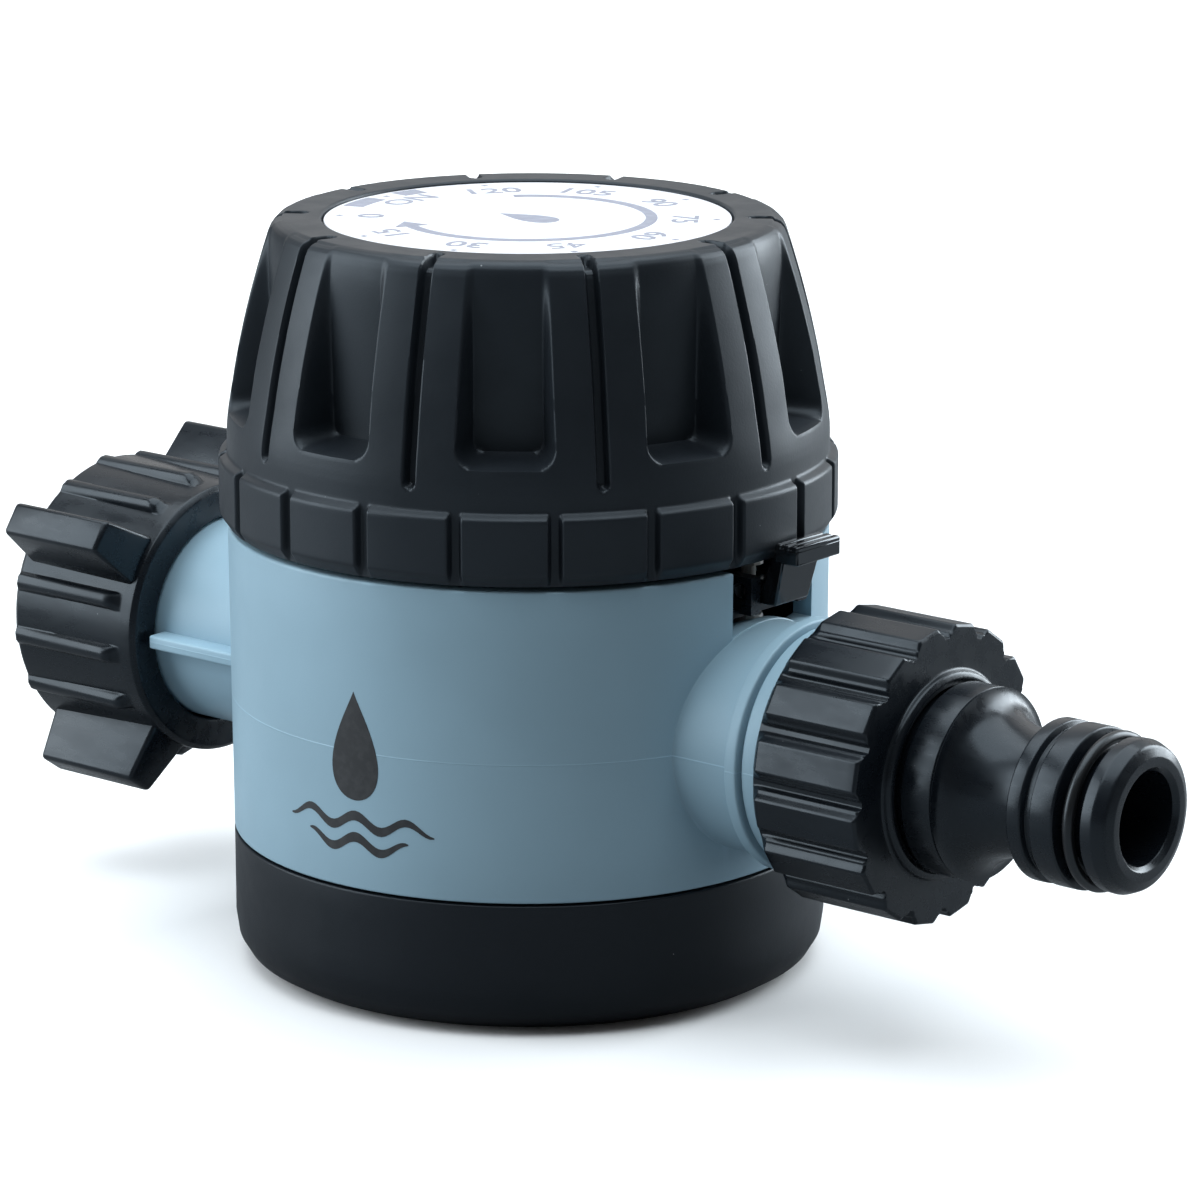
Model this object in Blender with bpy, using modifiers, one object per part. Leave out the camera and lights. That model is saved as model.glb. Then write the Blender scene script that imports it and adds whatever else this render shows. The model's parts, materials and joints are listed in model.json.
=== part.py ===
"""Mechanical drip irrigation timer: a wind-up dial on a tap-to-hose valve body.

Frame: origin at the centre of the base's flat underside, +Z up the body axis, +X towards the hose outlet.
Lengths below are in millimetres and are turned into metres by MM.
"""
import math

import bmesh
import bpy
from mathutils import Matrix, Vector

for old_object in list(bpy.data.objects):
    bpy.data.objects.remove(old_object, do_unlink=True)

MM = 0.001
GAP = 0.3
ROD_TWIST = math.radians(7.3)  # keeps the facets of crossing rods from lining up

# Body and base
BODY_R = 33.0
BODY_TOP_R = 33.2
BODY_INNER_R = 30.8
SEAM_Z = 15.0
BODY_TOP_Z = 49.15
PIPE_Z = 30.3
BASE_FILLET = 5.0
BASE_FLOOR = 2.2
BASE_SCREW_R = 24.5
BASE_SCREW_ANGLES = (30, 150, 270)
DECK_SCREW_R = 28.2
DECK_ANGLES = (50, 165, 285)

# Dial
DIAL_PANELS = 10
DIAL_BLOCKS = 20
DIAL_BOTTOM_Z = 49.7
DIAL_TOP_Z = 83.2
LABEL_R = 22.24
LABEL_TOP_Z = 82.9
POCKET_FLOOR_R = 27.8
DIAL_TRAVEL = 324.0

# Valve
BLOCK_R = 18.0
BLOCK_Z = (19.5, 37.0)
DUCT_R = 5.0
TUBE_BORE_R = 8.5
SEAT_R = 7.0
SEAT_Z = 20.3
CHAMBER_R = 13.0
BONNET_SCREW_R = 16.0
BONNET_ANGLES = (45, 135, 225, 315)

# Inlet and outlet along X
INLET_TUBE_R = 11.8
INLET_END = 56.0
OUTLET_TUBE_R = 12.6
STUB_END_X = 51.5
NUT_FACE_X = 57.15
NIPPLE_END_X = 82.75
NIPPLE_BORE_R = 4.97
OUTLET_LOBES = 16
INLET_WINGS = 4
WING_START = 38.0

# Pilot valve, at the back of the body
PILOT_Y = 27.2
PILOT_SEAT_Z = 32.0
PILOT_TRAVEL = 2.4
CAM_Z = 55.0

# Clockwork
CLOCK_PLATE_R = 24.0
CLOCK_BASE_Z = 53.0
CLOCK_TOP_Z = 72.0
PLATE_T = 1.2
PILLAR_R = 21.0
PILLAR_ANGLES = (10, 130, 250)
GEAR_MODULE = 0.7
GREAT_TEETH = 30
PINION_TEETH = 8
SECOND_TEETH = 24
ESCAPE_TEETH = 15

# Bypass lever
SLOT_Y = (-5.2, 10.2)
LEVER_X = 30.6
LEVER_Y = 3.6
LEVER_Z = 46.0
PLUNGER_X = 28.0

PARTS = bpy.data.collections.new("drip_irrigation_timer")
CUTTERS = bpy.data.collections.new("cutters")
bpy.context.scene.collection.children.link(PARTS)
bpy.context.scene.collection.children.link(CUTTERS)

BLUE_GREY = ((0.29, 0.41, 0.47), 0.45, 0.0)
SATIN_BLACK = ((0.028, 0.031, 0.036), 0.5, 0.0)
GLOSS_BLACK = ((0.012, 0.012, 0.014), 0.28, 0.0)
LABEL_WHITE = ((0.78, 0.79, 0.84), 0.5, 0.0)
DARK_GREY = ((0.1, 0.11, 0.12), 0.55, 0.0)
WHITE_PLASTIC = ((0.75, 0.75, 0.72), 0.5, 0.0)
RUBBER = ((0.01, 0.01, 0.01), 0.7, 0.0)
STEEL = ((0.6, 0.6, 0.6), 0.3, 1.0)
BRASS = ((0.75, 0.58, 0.3), 0.3, 1.0)


def polar(radius, degrees, z=0.0):
    """A point in millimetres at a radius and an azimuth from +X."""
    angle = math.radians(degrees)
    return Vector((radius * math.cos(angle), radius * math.sin(angle), z))


def finish(obj, look):
    """Put an object with the parts and give it its own material."""
    if look is None:
        CUTTERS.objects.link(obj)
        obj.hide_render = True
        obj.display_type = 'WIRE'
        return obj
    PARTS.objects.link(obj)
    colour, roughness, metallic = look
    material = bpy.data.materials.new(obj.name)
    material.use_nodes = True
    shader = material.node_tree.nodes["Principled BSDF"]
    shader.inputs["Base Color"].default_value = (*colour, 1.0)
    shader.inputs["Roughness"].default_value = roughness
    shader.inputs["Metallic"].default_value = metallic
    obj.data.materials.append(material)
    return obj


def mesh_object(name, bm, look=None, smooth=True):
    """Turn a bmesh in millimetres into an object in metres, facing outwards."""
    bmesh.ops.scale(bm, vec=(MM, MM, MM), verts=bm.verts)
    bmesh.ops.recalc_face_normals(bm, faces=bm.faces)
    mesh = bpy.data.meshes.new(name)
    bm.to_mesh(mesh)
    bm.free()
    if smooth:
        mesh.shade_smooth()
        mesh.set_sharp_from_angle(angle=math.radians(35))
    return finish(bpy.data.objects.new(name, mesh), look)


def rod(name, radius, start, end, look=None, segments=24, end_radius=None):
    """A cylinder or cone between two points."""
    start, end = Vector(start), Vector(end)
    span = end - start
    turn = Vector((0, 0, 1)).rotation_difference(span).to_matrix().to_4x4()
    place = Matrix.Translation((start + end) / 2) @ turn @ Matrix.Rotation(ROD_TWIST, 4, 'Z')
    bm = bmesh.new()
    bmesh.ops.create_cone(
        bm, cap_ends=True, segments=segments, radius1=radius,
        radius2=radius if end_radius is None else end_radius, depth=span.length, matrix=place)
    return mesh_object(name, bm, look)


def block(name, low, high, look=None):
    """A box from its lowest to its highest corner."""
    low, high = Vector(low), Vector(high)
    bm = bmesh.new()
    place = Matrix.Translation((low + high) / 2) @ Matrix.Diagonal((*(high - low), 1.0))
    bmesh.ops.create_cube(bm, size=1.0, matrix=place)
    return mesh_object(name, bm, look, smooth=False)


def turned(name, profile, look=None, segments=32, twist=0.0):
    """Turn an (r, z) outline round local Z; an outline clear of the axis makes a ring.

    A twist in degrees keeps a tool's facets from lining up with those of the piece it cuts.
    """
    bm = bmesh.new()
    points = [bm.verts.new((r * MM, 0.0, z * MM)) for r, z in profile]
    for first, second in zip(points, points[1:]):
        bm.edges.new((first, second))
    if profile[0][0] > 0 and profile[-1][0] > 0:
        bm.edges.new((points[-1], points[0]))
    outline = bpy.data.meshes.new(name + "_outline")
    bm.to_mesh(outline)
    bm.free()
    guide = bpy.data.objects.new(name + "_outline", outline)
    CUTTERS.objects.link(guide)
    screw = guide.modifiers.new("Turn", 'SCREW')
    screw.axis = 'Z'
    screw.steps = screw.render_steps = segments
    screw.use_merge_vertices = True
    screw.merge_threshold = 0.00001
    baked = bake(guide)
    bm = bmesh.new()
    bm.from_mesh(baked)
    bmesh.ops.scale(bm, vec=(1 / MM, 1 / MM, 1 / MM), verts=bm.verts)
    bmesh.ops.rotate(bm, matrix=Matrix.Rotation(math.radians(twist), 3, 'Z'), verts=bm.verts)
    bpy.data.objects.remove(guide)
    return mesh_object(name, bm, look)


def bake(obj):
    """The object's mesh with its modifiers applied."""
    bpy.context.view_layer.update()
    evaluated = obj.evaluated_get(bpy.context.evaluated_depsgraph_get())
    return bpy.data.meshes.new_from_object(evaluated)


def along_x(obj):
    """Lay a turned object's local Z along +X at the pipe's height."""
    obj.rotation_euler = (0.0, math.pi / 2, 0.0)
    obj.location = (0.0, 0.0, PIPE_Z * MM)
    return obj


def along_minus_x(obj):
    """Lay a turned object's local Z along -X at the pipe's height."""
    obj.rotation_euler = (0.0, -math.pi / 2, 0.0)
    obj.location = (0.0, 0.0, PIPE_Z * MM)
    return obj


def combine(obj, tool, operation):
    """Boolean a tool, which is kept as a wire guide, into an object."""
    modifier = obj.modifiers.new(tool.name, 'BOOLEAN')
    modifier.operation = operation
    modifier.solver = 'EXACT'
    modifier.object = tool
    return obj


def join(obj, *tools):
    for tool in tools:
        combine(obj, tool, 'UNION')


def cut(obj, *tools):
    for tool in tools:
        combine(obj, tool, 'DIFFERENCE')


def evenly(count, start=0.0):
    """Angles of equal steps round a full turn."""
    return [start + 360.0 * index / count for index in range(count)]


def copies(name, build_one, angles):
    """One mesh of equal, separate shapes turned about local Z; used as a Boolean tool."""
    bm = bmesh.new()
    for angle in angles:
        before = set(bm.verts)
        build_one(bm)
        fresh = [v for v in bm.verts if v not in before]
        turn = Matrix.Rotation(math.radians(angle), 3, 'Z')
        bmesh.ops.rotate(bm, cent=(0, 0, 0), matrix=turn, verts=fresh)
    return mesh_object(name, bm, smooth=False)


def taper_block(bm, axis_from, axis_to, inner, outer):
    """A block along local Z whose inner (r, half width) and outer faces differ.

    axis_from and axis_to are (at inner radius, at outer radius) heights.
    """
    made = bmesh.ops.create_cube(bm, size=2.0)["verts"]
    for vert in made:
        at_outer = vert.co.x > 0
        at_end = vert.co.z > 0
        radius, half = outer if at_outer else inner
        heights = axis_to if at_end else axis_from
        vert.co = Vector((radius, math.copysign(half, vert.co.y), heights[1 if at_outer else 0]))


def screw(name, centre, head_z, head_h, head_r, tip_z, shank_r, look=STEEL, down=True):
    """A slotted pan-head screw along Z; down means that it points down."""
    x, y = centre
    sign = -1 if down else 1
    top, seat = head_z - sign * head_h, head_z
    outline = [(0, 0), (head_r * 0.8, 0), (head_r, head_h * 0.4), (head_r, head_h), (shank_r, head_h),
               (shank_r, abs(tip_z - top) - shank_r), (0, abs(tip_z - top))]
    body = turned(name, outline, look, segments=10)
    body.location = (x * MM, y * MM, top * MM)
    if down:
        body.rotation_euler = (math.pi, 0, 0)
    slot_low, slot_high = sorted((top - sign * 0.5, top + sign * head_h * 0.5))
    slot_reach = head_r * 0.6
    slot = block(name + "_slot", (x - slot_reach, y - 0.3, slot_low), (x + slot_reach, y + 0.3, slot_high))
    cut(body, slot)
    return body


def coil(name, centre, radius, wire, low, high, turns, look=STEEL):
    """A compression spring on a vertical axis, one closed tube."""
    steps = 10
    count = int(turns * steps) + 1
    curve = bpy.data.curves.new(name, 'CURVE')
    curve.dimensions = '3D'
    curve.bevel_depth = wire * MM
    curve.bevel_resolution = 0
    curve.use_fill_caps = True
    spline = curve.splines.new('POLY')
    spline.points.add(count - 1)
    for index, point in enumerate(spline.points):
        turn = 2 * math.pi * index / steps
        rise = low + wire + (high - low - 2 * wire) * index / (count - 1)
        spot = (centre[0] + radius * math.cos(turn), centre[1] + radius * math.sin(turn), rise)
        point.co = (*(value * MM for value in spot), 1.0)
    obj = bpy.data.objects.new(name + "_curve", curve)
    CUTTERS.objects.link(obj)
    return from_curve(name, obj, look)


def from_curve(name, obj, look, wall=None):
    """Make a curve object a closed mesh; a wall thickness makes an open-ended tube."""
    mesh = bake(obj)
    bpy.data.objects.remove(obj)
    bm = bmesh.new()
    bm.from_mesh(mesh)
    bmesh.ops.remove_doubles(bm, verts=bm.verts, dist=0.000001)
    bmesh.ops.scale(bm, vec=(1 / MM, 1 / MM, 1 / MM), verts=bm.verts)
    made = mesh_object(name, bm, look)
    if wall:
        shell = made.modifiers.new("Wall", 'SOLIDIFY')
        shell.thickness = wall * MM
        shell.offset = -1.0
    return made


def ring_section(radius, z, section, sides=10):
    """A round section of an O-ring, as an (r, z) outline."""
    return [(radius + section * math.cos(2 * math.pi * k / sides),
             z + section * math.sin(2 * math.pi * k / sides)) for k in range(sides)]


# ---------------------------------------------------------------- body and base

def make_body():
    body = turned("body_housing", [
        (BODY_TOP_R - 0.4, BODY_TOP_Z), (BODY_TOP_R, BODY_TOP_Z - 0.4), (BODY_R, SEAM_Z),
        (BODY_INNER_R, SEAM_Z), (BODY_INNER_R, BODY_TOP_Z)], BLUE_GREY, segments=48)
    cut(body, block("lever_slot", (25.0, SLOT_Y[0], 36.0), (36.0, SLOT_Y[1], 52.0)))
    valve_block = rod("valve_block", BLOCK_R, (0, 0, BLOCK_Z[0]), (0, 0, BLOCK_Z[1]), segments=32)
    inlet = along_minus_x(turned("inlet_tube", [
        (0, 10.0), (INLET_TUBE_R, 10.0), (INLET_TUBE_R, 52.6), (INLET_TUBE_R - 1.0, 52.6),
        (INLET_TUBE_R - 1.0, 54.4), (INLET_TUBE_R, 54.4), (INLET_TUBE_R, INLET_END - 0.4),
        (INLET_TUBE_R - 0.4, INLET_END), (0, INLET_END)], segments=24))
    outlet = along_x(turned("outlet_tube", [
        (0, 10.1), (OUTLET_TUBE_R, 10.1), (OUTLET_TUBE_R, 38.2), (13.8, 38.5), (13.8, 39.9),
        (12.8, 39.9), (12.8, 40.2), (13.2, 40.2), (13.2, 42.7), (12.8, 42.7),
        (12.8, STUB_END_X - 0.5), (12.3, STUB_END_X), (0, STUB_END_X)], segments=24))
    fins = block("inlet_fins", (-45.2, -14.2, PIPE_Z - 0.8), (-31.5, 14.2, PIPE_Z + 0.8))
    pilot_boss = rod("pilot_boss", 4.6, (0, PILOT_Y, 27.0), (0, PILOT_Y, 42.0), segments=16)
    bridge = rod("pilot_bridge", 3.0, (0, 14.0, PIPE_Z), (0, PILOT_Y, PIPE_Z), segments=12)
    nipple = rod("pilot_nipple", 1.2, pilot_side(3.0), pilot_side(8.6), segments=10)
    rib = block("base_boss_rib", (-1.2, -31.5, 21.0), (1.2, -16.0, 26.2))
    join(body, valve_block, inlet, outlet, fins, pilot_boss, bridge, nipple, rib)
    for angle in BASE_SCREW_ANGLES:
        low = polar(BASE_SCREW_R, angle, 16.9)
        join(body, rod(f"base_boss_{angle}", 3.2, low, low + Vector((0, 0, 10.0)), segments=10))
    for angle in DECK_ANGLES:
        low = polar(DECK_SCREW_R, angle, 39.0)
        join(body, rod(f"deck_boss_{angle}", 3.2, low, low + Vector((0, 0, 7.3)), segments=10))
    cut_body(body)


def pilot_side(distance):
    """A point on the pilot boss's side spout."""
    return Vector((0, PILOT_Y, 34.6)) + polar(distance, -32.0)


def cut_body(body):
    """Water ways, the flat seat of the bonnet and the screw holes."""
    cut(body,
        rod("bonnet_seat", BLOCK_R + 0.6, (0, 0, 10.0), (0, 0, BLOCK_Z[0]), segments=30),
        along_minus_x(turned("inlet_bore", [
            (0, 8.0), (DUCT_R, 8.0), (DUCT_R, 17.0), (TUBE_BORE_R, 18.0), (TUBE_BORE_R, INLET_END + 1),
            (0, INLET_END + 1)], segments=20, twist=4.1)),
        rod("inlet_drop", 2.5, (-10.4, 0.2, 22.0), (-10.4, 0.2, PIPE_Z + 1.3), segments=12),
        along_x(turned("outlet_bore", [
            (0, -2.3), (DUCT_R, -2.3), (DUCT_R, 17.0), (TUBE_BORE_R, 18.0), (TUBE_BORE_R, STUB_END_X + 1),
            (0, STUB_END_X + 1)], segments=20, twist=4.1)),
        rod("seat_bore", DUCT_R - 0.4, (0, 0, 19.0), (0, 0, PIPE_Z + 1.7), segments=20),
        turned("valve_annulus", [(CHAMBER_R, 24.0), (CHAMBER_R, 19.0), (SEAT_R, 19.0), (SEAT_R, 24.0)],
               segments=24, twist=2.3),
        rod("seat_step", SEAT_R + 0.4, (0, 0, 18.8), (0, 0, SEAT_Z), segments=22),
        rod("pilot_bore", 2.2, (0, PILOT_Y, PILOT_SEAT_Z), (0, PILOT_Y, 43.0), segments=16),
        rod("pilot_seat_hole", 0.8, (0, PILOT_Y, PIPE_Z), (0, PILOT_Y, 33.0), segments=8),
        rod("pilot_drain", 1.0, (0, 3.0, PIPE_Z), (0, PILOT_Y + 0.3, PIPE_Z), segments=8),
        rod("pilot_feed", 0.6, pilot_side(1.0), pilot_side(9.0), segments=8),
        rod("plunger_hole", 2.0, (PLUNGER_X, LEVER_Y, 35.0), (PLUNGER_X, LEVER_Y, 45.0), segments=12))
    for angle in BASE_SCREW_ANGLES:
        low = polar(BASE_SCREW_R, angle, 16.0)
        cut(body, rod(f"base_boss_hole_{angle}", 1.35, low, low + Vector((0, 0, 4.5)), segments=8))
    for angle in DECK_ANGLES:
        low = polar(DECK_SCREW_R, angle, 40.5)
        cut(body, rod(f"deck_boss_hole_{angle}", 1.35, low, low + Vector((0, 0, 7)), segments=8))
    for angle in BONNET_ANGLES:
        low = polar(BONNET_SCREW_R, angle, 18.0)
        cut(body, rod(f"bonnet_hole_{angle}", 1.2, low, low + Vector((0, 0, 7)), segments=8))


def make_base():
    arc = [(BODY_R - BASE_FILLET + BASE_FILLET * math.sin(a), BASE_FILLET - BASE_FILLET * math.cos(a))
           for a in (math.radians(22.5 * k) for k in range(5))]
    inner = BODY_INNER_R
    cap = turned("base_cap", [
        (0, 0), *arc, (BODY_R, SEAM_Z - GAP), (30.4, SEAM_Z - GAP), (30.4, SEAM_Z + 1.4),
        (29.4, SEAM_Z + 1.4), (29.4, 14.0), (inner, 12.6), (inner, BASE_FLOOR + 3.5),
        (inner - 3.5, BASE_FLOOR), (0, BASE_FLOOR)], SATIN_BLACK, segments=48)
    for angle in BASE_SCREW_ANGLES:
        spot = polar(BASE_SCREW_R, angle)
        up = Vector((0, 0, 1))
        join(cap, rod(f"base_post_{angle}", 3.0, spot + up * 1.0, spot + up * 16.4, segments=12))
        cut(cap, rod(f"base_post_hole_{angle}", 1.4, spot + up * 2.0, spot + up * 17.0, segments=8),
            rod(f"base_counterbore_{angle}", 2.6, spot - up, spot + up * 3.2, segments=12))
        screw(f"base_screw_{BASE_SCREW_ANGLES.index(angle) + 1}", spot.xy, 2.8, 1.6, 2.2, 19.8, 1.05,
              down=False)


def make_deck():
    deck = turned("deck_plate", [
        (0, 46.6), (30.5, 46.6), (30.5, 49.45), (31.7, 49.45), (31.7, 50.2), (29.4, 50.2), (29.4, 48.8),
        (0, 48.8)], DARK_GREY, segments=36)
    for angle in (70, 190, 310):
        low = polar(17.0, angle, 48.0)
        join(deck, rod(f"deck_post_{angle}", 2.6, low, low + Vector((0, 0, 4.7)), segments=10))
    cut(deck, rod("deck_pilot_hole", 1.7, (0, PILOT_Y, 46.0), (0, PILOT_Y, 50.0), segments=16),
        block("deck_lever_notch", (25.4, -5.6, 46.0), (33.0, 10.6, 51.0)))
    for index, angle in enumerate(DECK_ANGLES):
        spot = polar(DECK_SCREW_R, angle)
        up = Vector((0, 0, 1))
        cut(deck, rod(f"deck_hole_{angle}", 1.4, spot + up * 46, spot + up * 50, segments=8),
            rod(f"deck_head_room_{angle}", 2.4, spot + up * 48.8, spot + up * 51, segments=12))
        screw(f"deck_screw_{index + 1}", spot.xy, 49.1, 1.2, 2.0, 41.0, 1.05)


# ---------------------------------------------------------------- main valve

def make_valve():
    bonnet = turned("valve_bonnet", [
        (0, 7.5), (14.0, 7.5), (14.0, 14.5), (BLOCK_R, 14.5), (BLOCK_R, 17.9), (12.8, 17.9), (12.8, 9.3),
        (4.3, 9.3), (4.3, 12.4), (3.3, 12.4), (3.3, 9.3), (0, 9.3)], DARK_GREY, segments=28)
    spout = rod("bonnet_spout", 1.2, polar(13.3, 60, 11.5), polar(19.0, 60, 11.5), segments=12)
    spout_bore = rod("bonnet_spout_bore", 0.6, polar(12.0, 60, 11.5), polar(20.0, 60, 11.5), segments=12)
    join(bonnet, spout)
    cut(bonnet, spout_bore)
    for index, angle in enumerate(BONNET_ANGLES):
        low = polar(BONNET_SCREW_R, angle, 14.0)
        cut(bonnet, rod(f"bonnet_flange_hole_{angle}", 1.3, low, low + Vector((0, 0, 5)), segments=8))
        screw(f"bonnet_screw_{index + 1}", low.xy, 14.2, 1.1, 1.7, 24.0, 0.9, down=False)
    turned("diaphragm", [
        (14.2, 19.2), (14.2, 18.2), (12.6, 18.2), (9.7, 15.4), (8.4, 15.4), (8.4, 16.3), (9.3, 16.3),
        (12.2, 19.2)], RUBBER, segments=24)
    turned("valve_plug", [
        (0, 9.7), (2.6, 9.7), (3.0, 10.1), (3.0, 15.2), (8.0, 15.2), (8.0, 16.6), (0, 16.6)],
        WHITE_PLASTIC, segments=20)
    turned("seat_washer", [(0, 16.9), (7.8, 16.9), (7.8, 18.0), (0, 18.0)], RUBBER, segments=24)
    coil("valve_spring", (0, 0), 5.4, 0.35, 9.6, 14.9, 4)


# ---------------------------------------------------------------- pilot valve

def make_pilot():
    head = 54.7
    turned("pilot_stem", [
        (0, head), (1.2, head - 0.2), (2.1, head - 1.0), (2.1, head - 1.8), (1.35, head - 1.8),
        (1.35, 40.0), (1.1, 40.0), (1.1, 38.6), (1.35, 38.6), (1.35, 36.2), (0.5, 34.8), (0, 34.8)],
        WHITE_PLASTIC, segments=12).location = (0, PILOT_Y * MM, 0)
    turned("pilot_oring", ring_section(1.65, 39.3, 0.42, 6), RUBBER, segments=12).location = (
        0, PILOT_Y * MM, 0)
    coil("pilot_spring", (0, PILOT_Y), 1.9, 0.18, 49.1, 52.6, 4)
    curve = bpy.data.curves.new("pilot_tube", 'CURVE')
    curve.dimensions = '3D'
    curve.resolution_u = 3
    curve.bevel_depth = 1.95 * MM
    curve.bevel_resolution = 1
    spline = curve.splines.new('NURBS')
    spline.use_endpoint_u = True
    spline.order_u = 4
    start, side = pilot_side(6.0), polar(1.0, 60)
    end = polar(15.6, 60, 11.5)
    route = [start, pilot_side(8.5), pilot_side(10.5), Vector((14.5, 18.6, 32.0)), Vector((15.0, 19.5, 24.0)),
             Vector((14.0, 22.0, 14.0)), end + side * 6.0, end + side * 3.5, end]
    spline.points.add(len(route) - 1)
    for point, spot in zip(spline.points, route):
        point.co = (*(value * MM for value in spot), 1.0)
    guide = bpy.data.objects.new("pilot_tube_curve", curve)
    CUTTERS.objects.link(guide)
    from_curve("pilot_tube", guide, RUBBER, wall=0.4)


# ---------------------------------------------------------------- inlet and outlet

def make_inlet():
    nut = turned("inlet_nut", [
        (12.1, 46.1), (15.0, 46.1), (15.6, 46.7), (15.8, 48.0), (15.8, 64.0), (15.2, 65.0), (13.6, 65.0),
        (13.2, 64.6), (13.2, 52.7), (12.1, 52.7)], GLOSS_BLACK, segments=32)

    def wing(bm):
        taper_block(bm, (46.9, 50.0), (64.9, 64.9), (14.9, 3.3), (22.0, 1.95))

    def rib(bm):
        taper_block(bm, (49.2, 49.2), (64.4, 64.4), (15.2, 1.1), (16.6, 0.95))

    wings = copies("inlet_wings", wing, evenly(INLET_WINGS, WING_START))
    grips = copies("inlet_ribs", rib, rib_angles())
    join(nut, wings, grips)
    for piece in (nut, wings, grips):
        along_minus_x(piece)
    clip = along_minus_x(turned("inlet_snap_ring", [
        (11.1, 53.0), (12.9, 53.0), (12.9, 54.1), (11.1, 54.1)], STEEL, segments=20))
    cut(clip, block("snap_ring_gap", (-55.0, -1.5, PIPE_Z - 15.0), (-52.0, 1.5, PIPE_Z - 9.0)))
    along_minus_x(turned("inlet_washer", [(9.2, 56.4), (12.9, 56.4), (12.9, 58.6), (9.2, 58.6)],
                         RUBBER, segments=20))
    strainer = along_minus_x(turned("inlet_filter", [
        (0, 50.0), (6.8, 50.0), (7.9, 56.0), (8.8, 56.4), (8.8, 57.6), (7.2, 57.6), (6.0, 50.9), (0, 50.9)],
        WHITE_PLASTIC, segments=16))

    def window(bm):
        taper_block(bm, (51.6, 51.6), (55.4, 55.4), (5.0, 0.9), (9.5, 0.9))

    cut(strainer, along_minus_x(copies("filter_windows", window, evenly(8))))


def rib_angles():
    """Grip ribs of the inlet nut: three between neighbouring wings."""
    return [angle + 22.5 * step for angle in evenly(INLET_WINGS, WING_START) for step in (1, 2, 3)]


def make_outlet():
    nut = along_x(turned("outlet_nut", [
        (13.1, 43.0), (14.6, 43.0), (15.1, 43.5), (15.1, NUT_FACE_X - 0.3), (14.8, NUT_FACE_X),
        (11.2, NUT_FACE_X), (11.0, 58.0), (9.9, 58.1), (9.6, 57.6), (9.6, 56.2), (13.1, 56.2)],
        GLOSS_BLACK, segments=32))

    def pad(bm):
        taper_block(bm, (43.2, 44.2), (NUT_FACE_X - 0.02, NUT_FACE_X - 0.3), (14.5, 2.3), (16.15, 1.8))

    pads = along_x(copies("outlet_pads", pad, evenly(OUTLET_LOBES, 180.0 / OUTLET_LOBES)))
    join(nut, pads)
    bell = [(10.3 - 3.6 * math.sin(a), 62.7 + 7.0 * (1 - math.cos(a))) for a in
            (math.radians(k * 22.5) for k in range(5))]
    along_x(turned("hose_nipple", [
        (12.8, 53.9), (12.8, 55.9), (9.2, 55.9), (9.2, 58.5), (10.0, 58.6), (10.3, 58.9), (10.3, 62.5),
        *bell, (6.7, 70.0), (7.7, 70.4), (8.6, 71.0), (8.6, 72.5), (7.9, 72.7), (7.9, 73.5), (8.6, 73.7),
        (8.6, 76.6), (6.9, 76.7), (6.9, 79.5), (8.1, 79.6), (8.15, 81.2), (7.9, 82.0), (7.3, 82.6),
        (6.6, NIPPLE_END_X), (5.5, NIPPLE_END_X), (NIPPLE_BORE_R, 82.2), (NIPPLE_BORE_R, 53.9)],
        GLOSS_BLACK, segments=24))
    along_x(turned("nipple_oring", ring_section(7.85, 78.1, 0.62, 6), RUBBER, segments=24))
    along_x(turned("outlet_washer", [(8.0, 51.8), (12.6, 51.8), (12.6, 53.6), (8.0, 53.6)], RUBBER,
                   segments=20))


# ---------------------------------------------------------------- bypass lever

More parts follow.
